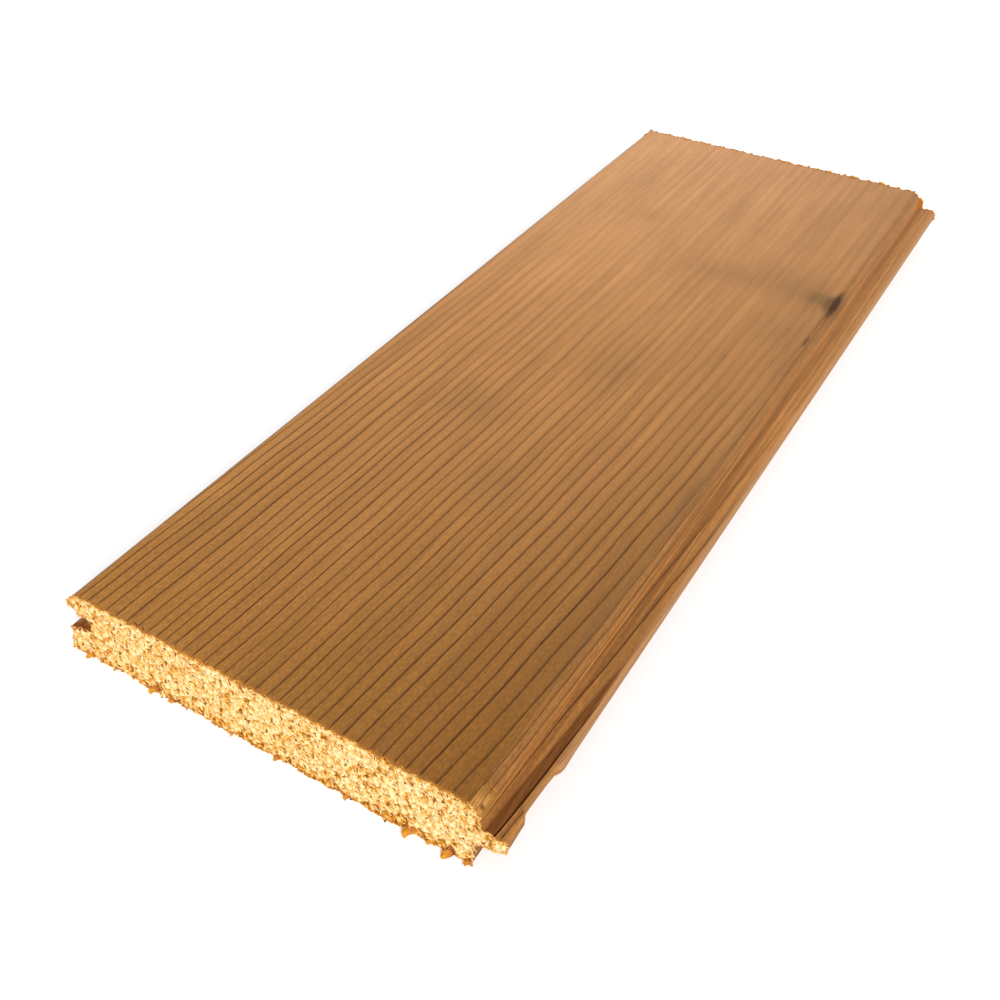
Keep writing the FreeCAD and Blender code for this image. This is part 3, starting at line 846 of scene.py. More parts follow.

    # Stains, torn wood with the painted shade of the tongue's inner corner, the pale torn corner
    # and the orange sawn rim lie over the grain.
    rim = add_node(tree, "ShaderNodeMath", {"operation": "MULTIPLY_ADD"},
                   {0: pores.outputs[0], 1: -3.0 * MM, 2: axes["Y"]})
    rim = add_node(tree, "ShaderNodeMapRange", {},
                   {"Value": rim.outputs[0], "From Min": FRONT - 1.9 * MM,
                    "From Max": FRONT - 0.6 * MM, "To Min": 0.9, "To Max": 0.0}).outputs[0]
    layers = [(rim, colours.rim)]
    frayed = add_node(tree, "ShaderNodeMapRange", {},
                      {"Value": fine.outputs[0], "From Min": 0.38, "From Max": 0.58,
                       "To Min": 0.15, "To Max": 1.0})
    for layer, tint, cover in (("stain", colours.stain, 0.75), ("torn", colours.torn, 0.85),
                               ("fresh", colours.fresh, 0.9), ("worn", colours.worn, 0.5)):
        mark = add_node(tree, "ShaderNodeAttribute", {"attribute_name": layer}).outputs["Fac"]
        if layer == "fresh":
            mark = add_node(tree, "ShaderNodeMath", {"operation": "MULTIPLY"},
                            {0: mark, 1: frayed.outputs[0]}).outputs[0]
        mark = add_node(tree, "ShaderNodeMath", {"operation": "MULTIPLY", "use_clamp": True},
                        {0: mark, 1: cover})
        layers.append((mark.outputs[0], tint))

    # The edge knot: a black streak along the arris, with an olive halo in the face.
    depth = 6 * MM
    ragged = add_node(tree, "ShaderNodeMapRange", {},
                      {"Value": fine.outputs[0], "To Min": -0.35, "To Max": 0.35})
    for mark_x, mark_y, reach_x, reach_y, cover, tint in KNOT_MARKS_MM:
        centred = add_node(tree, "ShaderNodeMapping", {"vector_type": "POINT"},
                           {"Vector": place,
                            "Location": (-mark_x / reach_x, -mark_y / reach_y, -TOP / depth),
                            "Scale": (1 / (reach_x * MM), 1 / (reach_y * MM), 1 / depth)})
        distance = add_node(tree, "ShaderNodeVectorMath", {"operation": "LENGTH"},
                            {0: centred.outputs[0]})
        distance = add_node(tree, "ShaderNodeMath", {"operation": "ADD"},
                            {0: distance.outputs["Value"], 1: ragged.outputs[0]})
        mark = add_node(tree, "ShaderNodeMapRange", {"interpolation_type": "SMOOTHSTEP"},
                        {"Value": distance.outputs[0], "From Min": 0.35, "From Max": 1.1,
                         "To Min": cover, "To Max": 0.0})
        layers.append((mark.outputs[0], linear(tint)))
    for cover, tint in layers:
        colour = add_node(tree, "ShaderNodeMix", {"data_type": "RGBA"},
                          {"Factor": cover, "A": colour,
                           "B": (*tint, 1)}).outputs["Result"]

    height = add_node(tree, "ShaderNodeMath", {"operation": "MULTIPLY_ADD"},
                      {0: line.outputs["Result"], 1: 0.5, 2: fine.outputs[0]})
    bump = add_node(tree, "ShaderNodeBump", {},
                    {"Strength": 0.35, "Distance": cut_marks, "Height": height.outputs[0]})
    gloss = add_node(tree, "ShaderNodeMapRange", {},
                     {"Value": fine.outputs[0], "To Min": 0.52, "To Max": 0.7})
    surface = add_node(tree, "ShaderNodeBsdfPrincipled", {},
                       {"Base Color": colour, "Roughness": gloss.outputs[0],
                        "IOR": 1.5, "Specular IOR Level": 0.17, "Normal": bump.outputs[0]})
    add_node(tree, "ShaderNodeOutputMaterial", {}, {"Surface": surface.outputs[0]})
    return material


def end_shade(tree, place):
    """Slow change of tone over the sawn ends, browner towards the bottom and top edges."""
    broad = add_node(tree, "ShaderNodeTexNoise", {},
                     {"Vector": place, "Scale": 1 / (5 * MM), "Detail": 2.0})
    broad = add_node(tree, "ShaderNodeMapRange", {},
                     {"Value": broad.outputs[0], "From Min": 0.3, "From Max": 0.7,
                      "To Min": -0.14, "To Max": 0.14})
    height = add_node(tree, "ShaderNodeSeparateXYZ", {}, {0: place}).outputs["Z"]
    bottom = add_node(tree, "ShaderNodeMapRange", {"interpolation_type": "SMOOTHSTEP"},
                      {"Value": height, "From Min": 0.0, "From Max": 3.5 * MM,
                       "To Min": -0.32, "To Max": 0.0})
    top = add_node(tree, "ShaderNodeMapRange", {"interpolation_type": "SMOOTHSTEP"},
                   {"Value": height, "From Min": TOP - 0.9 * MM, "From Max": TOP + 0.1 * MM,
                    "To Min": 0.0, "To Max": -0.35})
    edges = add_node(tree, "ShaderNodeMath", {"operation": "ADD"},
                     {0: bottom.outputs[0], 1: top.outputs[0]})
    total = add_node(tree, "ShaderNodeMath", {"operation": "ADD"},
                     {0: broad.outputs[0], 1: edges.outputs[0]})
    return total.outputs[0]


def sawn_end_wood(name, colours, sizes):
    """Rough-sawn end grain: matt cream and straw lumps with brown pits between them; the lighter
    lump tops, amber hollows and brown pits are painted light and shade.
    """
    material, tree = new_material(name)
    place = add_node(tree, "ShaderNodeTexCoord").outputs["Object"]
    # The tone follows the height of the lumps: lighter on their tops and amber towards the hollows
    # between them, which is painted highlight and shade over the wood's own straw colour.
    lump = end_cells(tree, place, sizes.lump_spacing)
    height = add_node(tree, "ShaderNodeMapRange", {},
                      {"Value": lump, "From Min": 0.1, "From Max": 0.75,
                       "To Min": 0.82, "To Max": 0.3})
    # Cell walls: real ones are near 0.03 mm, so the mottle is drawn 0.5 mm across to show.
    mottle = add_node(tree, "ShaderNodeTexNoise", {},
                      {"Vector": place, "Scale": 1 / (0.5 * MM), "Detail": 2.0})
    mottle = add_node(tree, "ShaderNodeMapRange", {},
                      {"Value": mottle.outputs[0], "From Min": 0.3, "From Max": 0.7,
                       "To Min": -0.25, "To Max": 0.25})
    # The saw laid the fibres over in one slanting direction: wisps 0.5 mm wide, 2.5 mm long.
    combed = add_node(tree, "ShaderNodeMapping", {"vector_type": "TEXTURE"},
                      {"Vector": place, "Rotation": (0.0, math.radians(45), 0.0),
                       "Scale": (2.5 * MM, 1.0, 0.5 * MM)})
    wisps = add_node(tree, "ShaderNodeTexNoise", {},
                     {"Vector": combed.outputs[0], "Scale": 1.0, "Detail": 2.0})
    wisps = add_node(tree, "ShaderNodeMapRange", {},
                     {"Value": wisps.outputs[0], "From Min": 0.3, "From Max": 0.7,
                      "To Min": -0.3, "To Max": 0.3})
    tone = add_node(tree, "ShaderNodeMath", {"operation": "ADD"},
                    {0: height.outputs[0], 1: mottle.outputs[0]})
    tone = add_node(tree, "ShaderNodeMath", {"operation": "ADD"},
                    {0: tone.outputs[0], 1: wisps.outputs[0]})
    tone = add_node(tree, "ShaderNodeMath", {"operation": "ADD"},
                    {0: tone.outputs[0], 1: end_shade(tree, place)})
    ramp = add_node(tree, "ShaderNodeValToRGB", {}, {0: tone.outputs[0]})
    set_ramp(ramp, ((0.0, colours.pit), (0.28, colours.amber), (0.52, colours.straw),
                    (0.85, colours.cream)))
    # The pits are drawn brown: painted shade at their bottoms.
    from_pit = add_node(tree, "ShaderNodeMath", {"operation": "MULTIPLY_ADD"},
                        {0: wisps.outputs[0], 1: 0.3,
                         2: end_cells(tree, place, sizes.pit_spacing)})
    pit = add_node(tree, "ShaderNodeMapRange", {"interpolation_type": "SMOOTHSTEP"},
                   {"Value": from_pit.outputs[0],
                    "From Min": 0.5 * sizes.pit_radius / sizes.pit_spacing,
                    "From Max": sizes.pit_radius / sizes.pit_spacing,
                    "To Min": 0.95, "To Max": 0.0})
    colour = add_node(tree, "ShaderNodeMix", {"data_type": "RGBA"},
                      {"Factor": pit.outputs[0], "A": ramp.outputs["Color"],
                       "B": (*colours.pit, 1)})
    bump = add_node(tree, "ShaderNodeBump", {},
                    {"Strength": 0.5, "Distance": 0.25 * MM, "Height": mottle.outputs[0]})
    surface = add_node(tree, "ShaderNodeBsdfPrincipled", {},
                       {"Base Color": colour.outputs["Result"], "Roughness": 0.85,
                        "Specular IOR Level": 0.05, "Normal": bump.outputs[0]})
    add_node(tree, "ShaderNodeOutputMaterial", {}, {"Surface": surface.outputs[0]})
    return material


def fibre_wood(name, root, middle, tip):
    """Torn softwood fibre: matt, darker where it leaves the board and pale at its tip."""
    material, tree = new_material(name)
    place = add_node(tree, "ShaderNodeTexCoord").outputs["Object"]
    tone = end_shade(tree, place)
    for layer in ("along", "tint"):
        part = add_node(tree, "ShaderNodeAttribute", {"attribute_name": layer}).outputs["Fac"]
        tone = add_node(tree, "ShaderNodeMath", {"operation": "ADD"},
                        {0: tone, 1: part}).outputs[0]
    ramp = add_node(tree, "ShaderNodeValToRGB", {}, {0: tone})
    set_ramp(ramp, ((0.0, root), (0.3, middle), (0.7, tip)))
    surface = add_node(tree, "ShaderNodeBsdfPrincipled", {},
                       {"Base Color": ramp.outputs["Color"], "Roughness": 0.8,
                        "Specular IOR Level": 0.2})
    add_node(tree, "ShaderNodeOutputMaterial", {}, {"Surface": surface.outputs[0]})
    return material


def split_wood(name, colours):
    """Wood inside the split: matt brown, with long streaks where the fibres parted."""
    material, tree = new_material(name)
    place = add_node(tree, "ShaderNodeTexCoord").outputs["Object"]
    # Parted fibres: real ones are near 0.05 mm, so the streaks are drawn 0.3 mm to show.
    drawn = add_node(tree, "ShaderNodeMapping", {},
                     {"Vector": place, "Scale": (1 / (0.3 * MM), 1 / (6 * MM), 1 / (0.3 * MM))})
    streaks = add_node(tree, "ShaderNodeTexNoise", {},
                       {"Vector": drawn.outputs[0], "Scale": 1.0, "Detail": 2.0})
    ramp = add_node(tree, "ShaderNodeValToRGB", {}, {0: streaks.outputs[0]})
    set_ramp(ramp, ((0.3, colours.torn), (0.7, colours.split)))
    surface = add_node(tree, "ShaderNodeBsdfPrincipled", {},
                       {"Base Color": ramp.outputs["Color"], "Roughness": 0.8,
                        "Specular IOR Level": 0.2})
    add_node(tree, "ShaderNodeOutputMaterial", {}, {"Surface": surface.outputs[0]})
    return material


def fibre_tree(name, along_edge):
    """The tree that sets tapered fibres over a surface, or along an edge."""
    tree = bpy.data.node_groups.new(name, "GeometryNodeTree")
    face = tree.interface
    face.new_socket("Geometry", in_out="INPUT", socket_type="NodeSocketGeometry")
    for label in ("Spacing", "Length", "Width", "Tip", "Smallest", "Pit Spacing", "Pit Radius"):
        face.new_socket(label, in_out="INPUT", socket_type="NodeSocketFloat")
    for label in ("Direction", "Spread"):
        face.new_socket(label, in_out="INPUT", socket_type="NodeSocketVector")
    face.new_socket("Seed", in_out="INPUT", socket_type="NodeSocketInt")
    face.new_socket("Material", in_out="INPUT", socket_type="NodeSocketMaterial")
    face.new_socket("Geometry", in_out="OUTPUT", socket_type="NodeSocketGeometry")
    given = add_node(tree, "NodeGroupInput").outputs

    # One fibre: a flat, curved spike with its root at the origin and its tip up Z.
    half = add_node(tree, "ShaderNodeMath", {"operation": "MULTIPLY"},
                    {0: given["Width"], 1: 0.5}).outputs[0]
    thin = add_node(tree, "ShaderNodeMath", {"operation": "MULTIPLY"},
                    {0: half, 1: given["Tip"]}).outputs[0]
    spike = add_node(tree, "GeometryNodeMeshCone", {"fill_type": "NGON"},
                     {"Vertices": 4, "Side Segments": 3, "Radius Bottom": half,
                      "Radius Top": thin, "Depth": given["Length"]})
    place = add_node(tree, "GeometryNodeInputPosition").outputs[0]
    axes = add_node(tree, "ShaderNodeSeparateXYZ", {}, {0: place})
    share = add_node(tree, "ShaderNodeMath", {"operation": "DIVIDE"},
                     {0: axes.outputs["Z"], 1: given["Length"]})
    curve = add_node(tree, "ShaderNodeMath", {"operation": "POWER"},
                     {0: share.outputs[0], 1: 2.0})
    curve = add_node(tree, "ShaderNodeMath", {"operation": "MULTIPLY"},
                     {0: curve.outputs[0], 1: thin})
    flat = add_node(tree, "ShaderNodeMath", {"operation": "MULTIPLY_ADD"},
                    {0: axes.outputs["Y"], 1: 0.45, 2: curve.outputs[0]})
    bent = add_node(tree, "ShaderNodeCombineXYZ", {},
                    {"X": axes.outputs["X"], "Y": flat.outputs[0], "Z": axes.outputs["Z"]})
    fibre = add_node(tree, "GeometryNodeSetPosition", {},
                     {"Geometry": spike.outputs["Mesh"], "Position": bent.outputs[0]})
    fibre = add_node(tree, "GeometryNodeStoreNamedAttribute",
                     {"data_type": "FLOAT", "domain": "POINT"},
                     {"Geometry": fibre.outputs[0], "Name": "along", "Value": share.outputs[0]})

    if along_edge:
        path = add_node(tree, "GeometryNodeMeshToCurve", {}, {"Mesh": given["Geometry"]})
        spots = add_node(tree, "GeometryNodeResampleCurve", {"mode": "LENGTH"},
                         {"Curve": path.outputs[0], "Length": given["Spacing"]})
        spots = add_node(tree, "GeometryNodeCurveToPoints", {"mode": "EVALUATED"},
                         {"Curve": spots.outputs[0]}).outputs["Points"]
    else:
        spots = add_node(tree, "GeometryNodeDistributePointsOnFaces",
                         {"distribute_method": "POISSON"},
                         {"Mesh": given["Geometry"], "Distance Min": given["Spacing"],
                          "Density Max": 6e6, "Seed": given["Seed"]}).outputs["Points"]
    # No fibre is left where a pit was torn out.
    rim = add_node(tree, "ShaderNodeMath", {"operation": "DIVIDE"},
                   {0: given["Pit Radius"], 1: given["Pit Spacing"]})
    in_pit = add_node(tree, "FunctionNodeCompare",
                      {"data_type": "FLOAT", "operation": "LESS_THAN"},
                      {"A": end_cells(tree, place, given["Pit Spacing"]), "B": rim.outputs[0]})
    spots = add_node(tree, "GeometryNodeDeleteGeometry", {"domain": "POINT"},
                     {"Geometry": spots, "Selection": in_pit.outputs[0]}).outputs[0]
    sway = add_node(tree, "FunctionNodeRandomValue", {"data_type": "FLOAT_VECTOR"},
                    {"Min": (-1.0, -1.0, -1.0), "Max": (1.0, 1.0, 1.0), "Seed": given["Seed"]})
    sway = add_node(tree, "ShaderNodeVectorMath", {"operation": "MULTIPLY_ADD"},
                    {0: sway.outputs[0], 1: given["Spread"], 2: given["Direction"]})
    turn = add_node(tree, "FunctionNodeAlignRotationToVector", {"axis": "Z"},
                    {"Vector": sway.outputs[0]})
    second = add_node(tree, "ShaderNodeMath", {"operation": "ADD"}, {0: given["Seed"], 1: 5.0})
    draw = add_node(tree, "FunctionNodeRandomValue", {"data_type": "FLOAT"},
                    {"Min": 0.0, "Max": 1.0, "Seed": second.outputs[0]}).outputs[1]
    few = add_node(tree, "ShaderNodeMath", {"operation": "POWER"}, {0: draw, 1: 2.0})
    size = add_node(tree, "ShaderNodeMapRange", {},
                    {"Value": few.outputs[0], "To Min": given["Smallest"], "To Max": 1.35})
    wide = add_node(tree, "ShaderNodeMapRange", {},
                    {"Value": draw, "To Min": 0.7, "To Max": 1.25})
    scale = add_node(tree, "ShaderNodeCombineXYZ", {},
                     {"X": wide.outputs[0], "Y": wide.outputs[0], "Z": size.outputs[0]})
    set_out = add_node(tree, "GeometryNodeInstanceOnPoints", {},
                       {"Points": spots, "Instance": fibre.outputs[0],
                        "Rotation": turn.outputs[0], "Scale": scale.outputs[0]})
    third = add_node(tree, "ShaderNodeMath", {"operation": "ADD"}, {0: given["Seed"], 1: 9.0})
    tint = add_node(tree, "FunctionNodeRandomValue", {"data_type": "FLOAT"},
                    {"Min": -0.25, "Max": 0.25, "Seed": third.outputs[0]})
    tinted = add_node(tree, "GeometryNodeStoreNamedAttribute",
                      {"data_type": "FLOAT", "domain": "INSTANCE"},
                      {"Geometry": set_out.outputs[0], "Name": "tint",
                       "Value": tint.outputs[1]})
    real = add_node(tree, "GeometryNodeRealizeInstances", {}, {0: tinted.outputs[0]})
    dressed = add_node(tree, "GeometryNodeSetMaterial", {},
                       {"Geometry": real.outputs[0], "Material": given["Material"]})
    add_node(tree, "NodeGroupOutput", {}, {0: dressed.outputs[0]})
    return tree


def end_surface(name, y):
    """A copy of one sawn end of the finished board."""
    board = bpy.data.objects[BOARD]
    part = bmesh.new()
    part.from_mesh(board.data)
    middle = (FRONT + REAR) / 2
    others = [f for f in part.faces
              if f.material_index != SAWN or (f.calc_center_median().y < middle) != (y < middle)]
    bmesh.ops.delete(part, geom=others, context="FACES")
    mesh = bpy.data.meshes.new(name)
    part.to_mesh(mesh)
    part.free()
    return mesh


def end_outline(name, y):
    """The edges round one sawn end of the finished board, as a mesh of edges alone."""
    part = bmesh.new()
    part.from_mesh(end_surface(name + "_face", y))
    inner = [e for e in part.edges if not e.is_boundary]
    bmesh.ops.delete(part, geom=inner, context="EDGES_FACES")
    mesh = bpy.data.meshes.new(name)
    part.to_mesh(mesh)
    part.free()
    return mesh


class SplinterMesh:
    """Listed splinters, gathered into one mesh."""

    SIDES = 6
    SHARES = (0.0, 0.5, 0.8, 1.0)
    TAPER = (1.0, 0.95, 0.8, 0.5)

    def __init__(self):
        self.chance = np.random.default_rng(23)
        self.points = []
        self.faces = []
        self.along = []
        self.tint = []

    def add(self, foot, tip, wide, high):
        """Add a jagged stick from its foot to its tip."""
        foot, tip = Vector(foot), Vector(tip)
        axis = (tip - foot).normalized()
        side = Vector((0, 0, 1)).cross(axis).normalized()
        over = axis.cross(side)
        start = len(self.points)
        tint = self.chance.uniform(-0.15, 0.15)
        for share, taper in zip(self.SHARES, self.TAPER):
            for number in range(self.SIDES):
                turn = math.tau * (number + 0.5) / self.SIDES
                jag = self.chance.uniform(0.55, 1.2)
                step = self.chance.uniform(-0.3, 0.15) * (share > 0.9)
                place = foot + (tip - foot) * (share + step)
                place += side * math.cos(turn) * wide / 2 * taper * jag
                place += over * math.sin(turn) * high / 2 * taper * jag
                self.points.append(place)
                self.along.append(share)
                self.tint.append(tint)
        rings = len(self.SHARES)
        for ring in range(rings - 1):
            for number in range(self.SIDES):
                after = (number + 1) % self.SIDES
                here = start + ring * self.SIDES
                self.faces.append((here + number, here + after,
                                   here + self.SIDES + after, here + self.SIDES + number))
        self.faces.append(tuple(start + n for n in range(self.SIDES)))
        self.faces.append(tuple(start + (rings - 1) * self.SIDES + n
                                for n in reversed(range(self.SIDES))))

    def finish(self, name):
        """Make the mesh, with its faces outward and its two numbers for each point."""
        mesh = bpy.data.meshes.new(name)
        mesh.from_pydata(self.points, [], self.faces)
        store(mesh, "along", self.along)
        store(mesh, "tint", self.tint)
        part = bmesh.new()
        part.from_mesh(mesh)
        bmesh.ops.recalc_face_normals(part, faces=part.faces)
        part.to_mesh(mesh)
        part.free()
        return mesh



def keep_off_floor(thing):
    """Press any fibre that reaches under the board flat on the floor line."""
    places = np.zeros(len(thing.data.vertices) * 3, np.float32)
    thing.data.vertices.foreach_get("co", places)
    places = places.reshape(-1, 3)
    places[:, 2] = np.maximum(places[:, 2], FLOOR_CLEARANCE)
    thing.data.vertices.foreach_set("co", places.ravel())
    thing.data.update()


class LINING_OT_board(Operator):
    """Build the board with its rings, groove, split tongue and sawn ends"""

    bl_idname = "lining.board"
    bl_label = "Board"

    def execute(self, context):
        sizes = context.scene.lining_sizes
        ends = context.scene.lining_ends
        colours = context.scene.lining_colours
        built = BoardMesh(sizes)
        built.sweep()
        points, torn, fresh = shape_damage(np.array(built.points), sizes)
        mesh = bpy.data.meshes.new(BOARD)
        mesh.from_pydata(points.tolist(), [], built.faces)
        mesh.polygons.foreach_set("material_index", built.finishes)
        x, y, z = points.T
        store(mesh, "ring", ring_count(x, y, z))
        store(mesh, "stain", stain_at(points))
        # The torn layer also holds the painted shade in the tongue's inner corner.
        store(mesh, "torn", torn)
        store(mesh, "fresh", fresh)
        # The tone layer holds the painted light on the shoulder wall.
        store(mesh, "tone", tone_at(points))
        store(mesh, "worn", worn_at(points))
        store(mesh, "planed", z > TOP - 0.01 * MM)
        nearness = np.exp(-np.minimum(y - FRONT, REAR - y) / (0.35 * MM))
        store(mesh, "sawn", np.where(y < 0, -1.0, 1.0) * nearness)
        rounding = bmesh.new()
        rounding.from_mesh(mesh)
        bmesh.ops.recalc_face_normals(rounding, faces=rounding.faces)
        if any(not edge.is_manifold for edge in rounding.edges):
            raise RuntimeError("the board's mesh isn't closed")
        rounding.to_mesh(mesh)
        rounding.free()
        mesh.shade_smooth()
        board = add_object(BOARD, mesh)
        sawn = sawn_end_wood("Rough-sawn softwood end grain", colours, ends)
        face_tones = ((colours.near, colours.middle, colours.far),
                      (colours.near_right, colours.middle_right, colours.far_right))
        bevel_tones = ((colours.bevel_near, colours.bevel_middle, colours.bevel_far),)
        finishes = (
            planed_wood("Planed brown softwood", face_tones, colours, 0.15, 3 * MM, 0.06 * MM,
                        0.78),
            planed_wood("Cutter-planed brown softwood", bevel_tones, colours, 0.3, 0.9 * MM,
                        0.12 * MM, 0.64),
            sawn,
            split_wood("Split softwood", colours),
        )
        for finish in finishes:
            mesh.materials.append(finish)
        run_tree(board, relief_tree(), {
            "Ring Relief": sizes.ring_relief, "Lump Spacing": ends.lump_spacing,
            "Lump Height": ends.lump_height, "Fine Relief": ends.fine_relief,
            "Pit Spacing": ends.pit_spacing, "Pit Radius": ends.pit_radius,
            "Pit Depth": ends.pit_depth, "End Material": sawn,
        })
        board.data.set_sharp_from_angle(angle=math.radians(32))
        hand_over(board, NODE)
        return {"FINISHED"}


class LINING_OT_end_fibres(Operator):
    """Cover both sawn ends with the tufts and hairs that the saw tore and laid over"""

    bl_idname = "lining.end_fibres"
    bl_label = "End Fibres"

    def execute(self, context):
        sizes = context.scene.lining_ends
        colours = context.scene.lining_colours
        finish = fibre_wood("Torn end fibres", colours.amber, colours.straw, colours.cream)
        tree = fibre_tree("Torn End Fibres", False)
        across, up = math.sin(sizes.lean), -math.cos(sizes.lean)
        tufts = (sizes.tuft_spacing, sizes.tuft_length, sizes.tuft_width, 0.5)
        hairs = (sizes.hair_spacing, sizes.hair_length, sizes.hair_width, 0.3)
        rear = (sizes.rear_spacing, sizes.tuft_length, sizes.tuft_width, 0.5)
        for name, y, kind, seed in (("front_end_tufts", FRONT, tufts, 0),
                                    ("front_end_hairs", FRONT, hairs, 1),
                                    ("rear_end_tufts", REAR, rear, 2)):
            out = -1 if y < 0 else 1
            spacing, length, width, tip = kind
            fibres = add_object(name, end_surface(name, y))
            run_tree(fibres, tree, {
                "Spacing": spacing, "Length": length, "Width": width, "Tip": tip,
                "Direction": (across, out * math.tan(sizes.lift), up),
                "Spread": (0.35, 0.2, 0.35), "Smallest": 0.6, "Seed": sizes.seed + seed,
                "Pit Spacing": sizes.pit_spacing, "Pit Radius": sizes.pit_radius,
                "Material": finish,
            })
            keep_off_floor(fibres)
            hand_over(fibres)
        return {"FINISHED"}


class LINING_OT_edge_splinters(Operator):
    """Set the fringe of short splinters round the edges of both sawn ends"""

    bl_idname = "lining.edge_splinters"
    bl_label = "Edge Splinters"

    def execute(self, context):
        sizes = context.scene.lining_ends
        colours = context.scene.lining_colours
        finish = fibre_wood("Edge splinters", colours.rim, colours.amber, colours.straw)
        tree = fibre_tree("Edge Splinters", True)
        for name, y, out, length, rise in (
                ("front_edge_splinters", FRONT, -1, sizes.fringe_length, -0.2),
                ("rear_edge_splinters", REAR, 1, 2 * sizes.fringe_length, 0.05)):
            fringe = add_object(name, end_outline(name, y))
            run_tree(fringe, tree, {
                "Spacing": sizes.fringe_spacing, "Length": length,
                "Width": sizes.tuft_width, "Tip": 0.45, "Direction": (0.3, out, rise),
                "Spread": (0.6, 0.1, 0.4), "Smallest": 0.3, "Seed": sizes.seed + 2,
                "Pit Spacing": sizes.pit_spacing, "Pit Radius": 0.0, "Material": finish,
            })
            keep_off_floor(fringe)
            hand_over(fringe)
        return {"FINISHED"}


class LINING_OT_torn_blocks(Operator):
    """Set the larger splinters that hang on at the bottom edge and by the torn corner"""

    bl_idname = "lining.torn_blocks"
    bl_label = "Torn Blocks"

    def execute(self, context):
        colours = context.scene.lining_colours
        dark = fibre_wood("Torn splinters", colours.split, colours.rim, colours.amber)
        # The rear splinters get a lighter copy of the splinter wood: painted light that makes up
        # for the shade they stand in.
        light = fibre_wood("Torn rear splinters", colours.rim, colours.amber, colours.straw)
        for name, y, out, places, finish in (
                ("front_torn_blocks", FRONT, -1, BLOCKS_MM, dark),
                ("rear_torn_blocks", REAR, 1, REAR_BLOCKS_MM, light)):
            blocks = SplinterMesh()
            for x, z, wide, high, reach, sway in places:
                foot = Vector((x, y / MM - 0.9 * out, z)) * MM
                tip = Vector((x + sway, y / MM + reach * out, z - 0.15)) * MM
                blocks.add(foot, tip, wide * MM, high * MM)
            if out < 0:
                for foot, tip, thick in LOOSE_FIBRES_MM:
                    blocks.add(Vector(foot) * MM, Vector(tip) * MM, thick * MM, thick * MM)
            thing = add_object(name, blocks.finish(name))
            thing.data.materials.append(finish)
            keep_off_floor(thing)
            hand_over(thing)
        return {"FINISHED"}


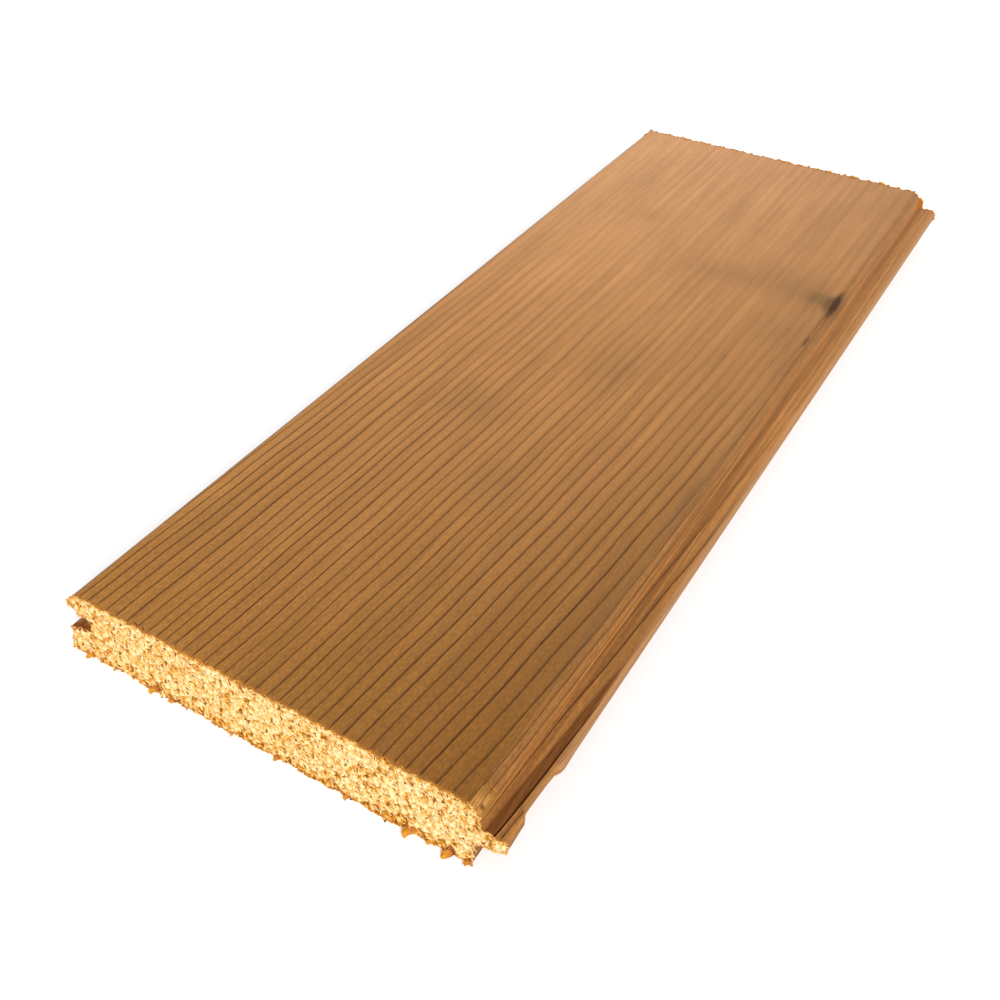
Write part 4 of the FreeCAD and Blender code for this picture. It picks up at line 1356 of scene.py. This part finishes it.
class LINING_OT_stage(Operator):
    """Set the pale floor, the soft studio light and the camera"""

    bl_idname = "lining.stage"
    bl_label = "Stage"

    def execute(self, context):
        scene = context.scene
        scene.view_settings.view_transform = "Standard"
        half = 4.0
        mesh = bpy.data.meshes.new("studio_floor")
        corners = [(-half, -half, 0), (half, -half, 0), (half, half, 0), (-half, half, 0)]
        mesh.from_pydata(corners, [], [(0, 1, 2, 3)])
        floor = add_object("studio_floor", mesh)
        material, tree = new_material("Matt white floor")
        paint = add_node(tree, "ShaderNodeBsdfDiffuse", {},
                         {"Color": (*scene.lining_colours.floor, 1)})
        seen = add_node(tree, "ShaderNodeLightPath").outputs["Is Camera Ray"]
        glow = add_node(tree, "ShaderNodeMath", {"operation": "MULTIPLY"}, {0: seen, 1: 0.28})
        light = add_node(tree, "ShaderNodeEmission", {}, {"Strength": glow.outputs[0]})
        both = add_node(tree, "ShaderNodeAddShader", {},
                        {0: paint.outputs[0], 1: light.outputs[0]})
        add_node(tree, "ShaderNodeOutputMaterial", {}, {"Surface": both.outputs[0]})
        mesh.materials.append(material)

        world = bpy.data.worlds.new("Soft white studio")
        world.use_nodes = True
        world.node_tree.nodes.clear()
        tree = world.node_tree
        path = add_node(tree, "ShaderNodeLightPath").outputs
        clear = path["Is Camera Ray"]
        for ray in ("Is Glossy Ray", "Is Transmission Ray"):
            clear = add_node(tree, "ShaderNodeMath", {"operation": "MAXIMUM"},
                             {0: clear, 1: path[ray]}).outputs[0]
        level = add_node(tree, "ShaderNodeMapRange", {},
                         {"Value": clear, "To Min": 0.45, "To Max": 1.0})
        sky = add_node(tree, "ShaderNodeBackground", {},
                       {"Color": (1, 1, 1, 1), "Strength": level.outputs[0]})
        add_node(tree, "ShaderNodeOutputWorld", {}, {"Surface": sky.outputs[0]})
        scene.world = world

        lamp = bpy.data.lights.new("window_light", "SUN")
        lamp.energy = 2.6
        lamp.angle = math.radians(25)
        sun = bpy.data.objects.new("window_light", lamp)
        scene.collection.objects.link(sun)
        towards = Vector((0.5, -0.6, 0.6))
        sun.rotation_euler = towards.to_track_quat("Z", "Y").to_euler()

        data = bpy.data.cameras.new("camera")
        data.sensor_width = 36.0
        data.lens = 47.258
        data.shift_x = 0.15
        data.shift_y = -0.15
        camera = bpy.data.objects.new("camera", data)
        camera.location = Vector((127.58, -328.56, 232.26)) * MM
        camera.rotation_euler = Euler([math.radians(a) for a in (58.0297, -0.0703, 34.04)])
        scene.collection.objects.link(camera)
        scene.camera = camera
        return {"FINISHED"}


class LINING_PT_pieces(Panel):
    """Lists the operators in the order in which they build the board"""

    bl_idname = "LINING_PT_pieces"
    bl_label = "Lining Board"
    bl_space_type = "VIEW_3D"
    bl_region_type = "UI"
    bl_category = "Lining Board"

    def draw(self, context):
        for operator in OPERATORS:
            self.layout.operator(operator.bl_idname)


OPERATORS = (LINING_OT_board, LINING_OT_end_fibres, LINING_OT_edge_splinters,
             LINING_OT_torn_blocks, LINING_OT_stage)
GROUPS = {"lining_sizes": BoardSizes, "lining_ends": EndSizes, "lining_colours": BoardColours}


def register():
    """Register the classes and hang the property groups on the scene."""
    for each in (*GROUPS.values(), *OPERATORS, LINING_PT_pieces):
        bpy.utils.register_class(each)
    for name, group in GROUPS.items():
        setattr(bpy.types.Scene, name, PointerProperty(type=group))


def unregister():
    """Take the property groups and the classes away again."""
    for name in GROUPS:
        delattr(bpy.types.Scene, name)
    for each in (LINING_PT_pieces, *reversed(OPERATORS), *reversed(GROUPS.values())):
        bpy.utils.unregister_class(each)


def main():
    """Build every piece and the stage."""
    register()
    bpy.ops.lining.board()
    bpy.ops.lining.end_fibres()
    bpy.ops.lining.edge_splinters()
    bpy.ops.lining.torn_blocks()
    bpy.ops.lining.stage()
    bpy.context.view_layer.update()


if __name__ == "__main__":
    main()
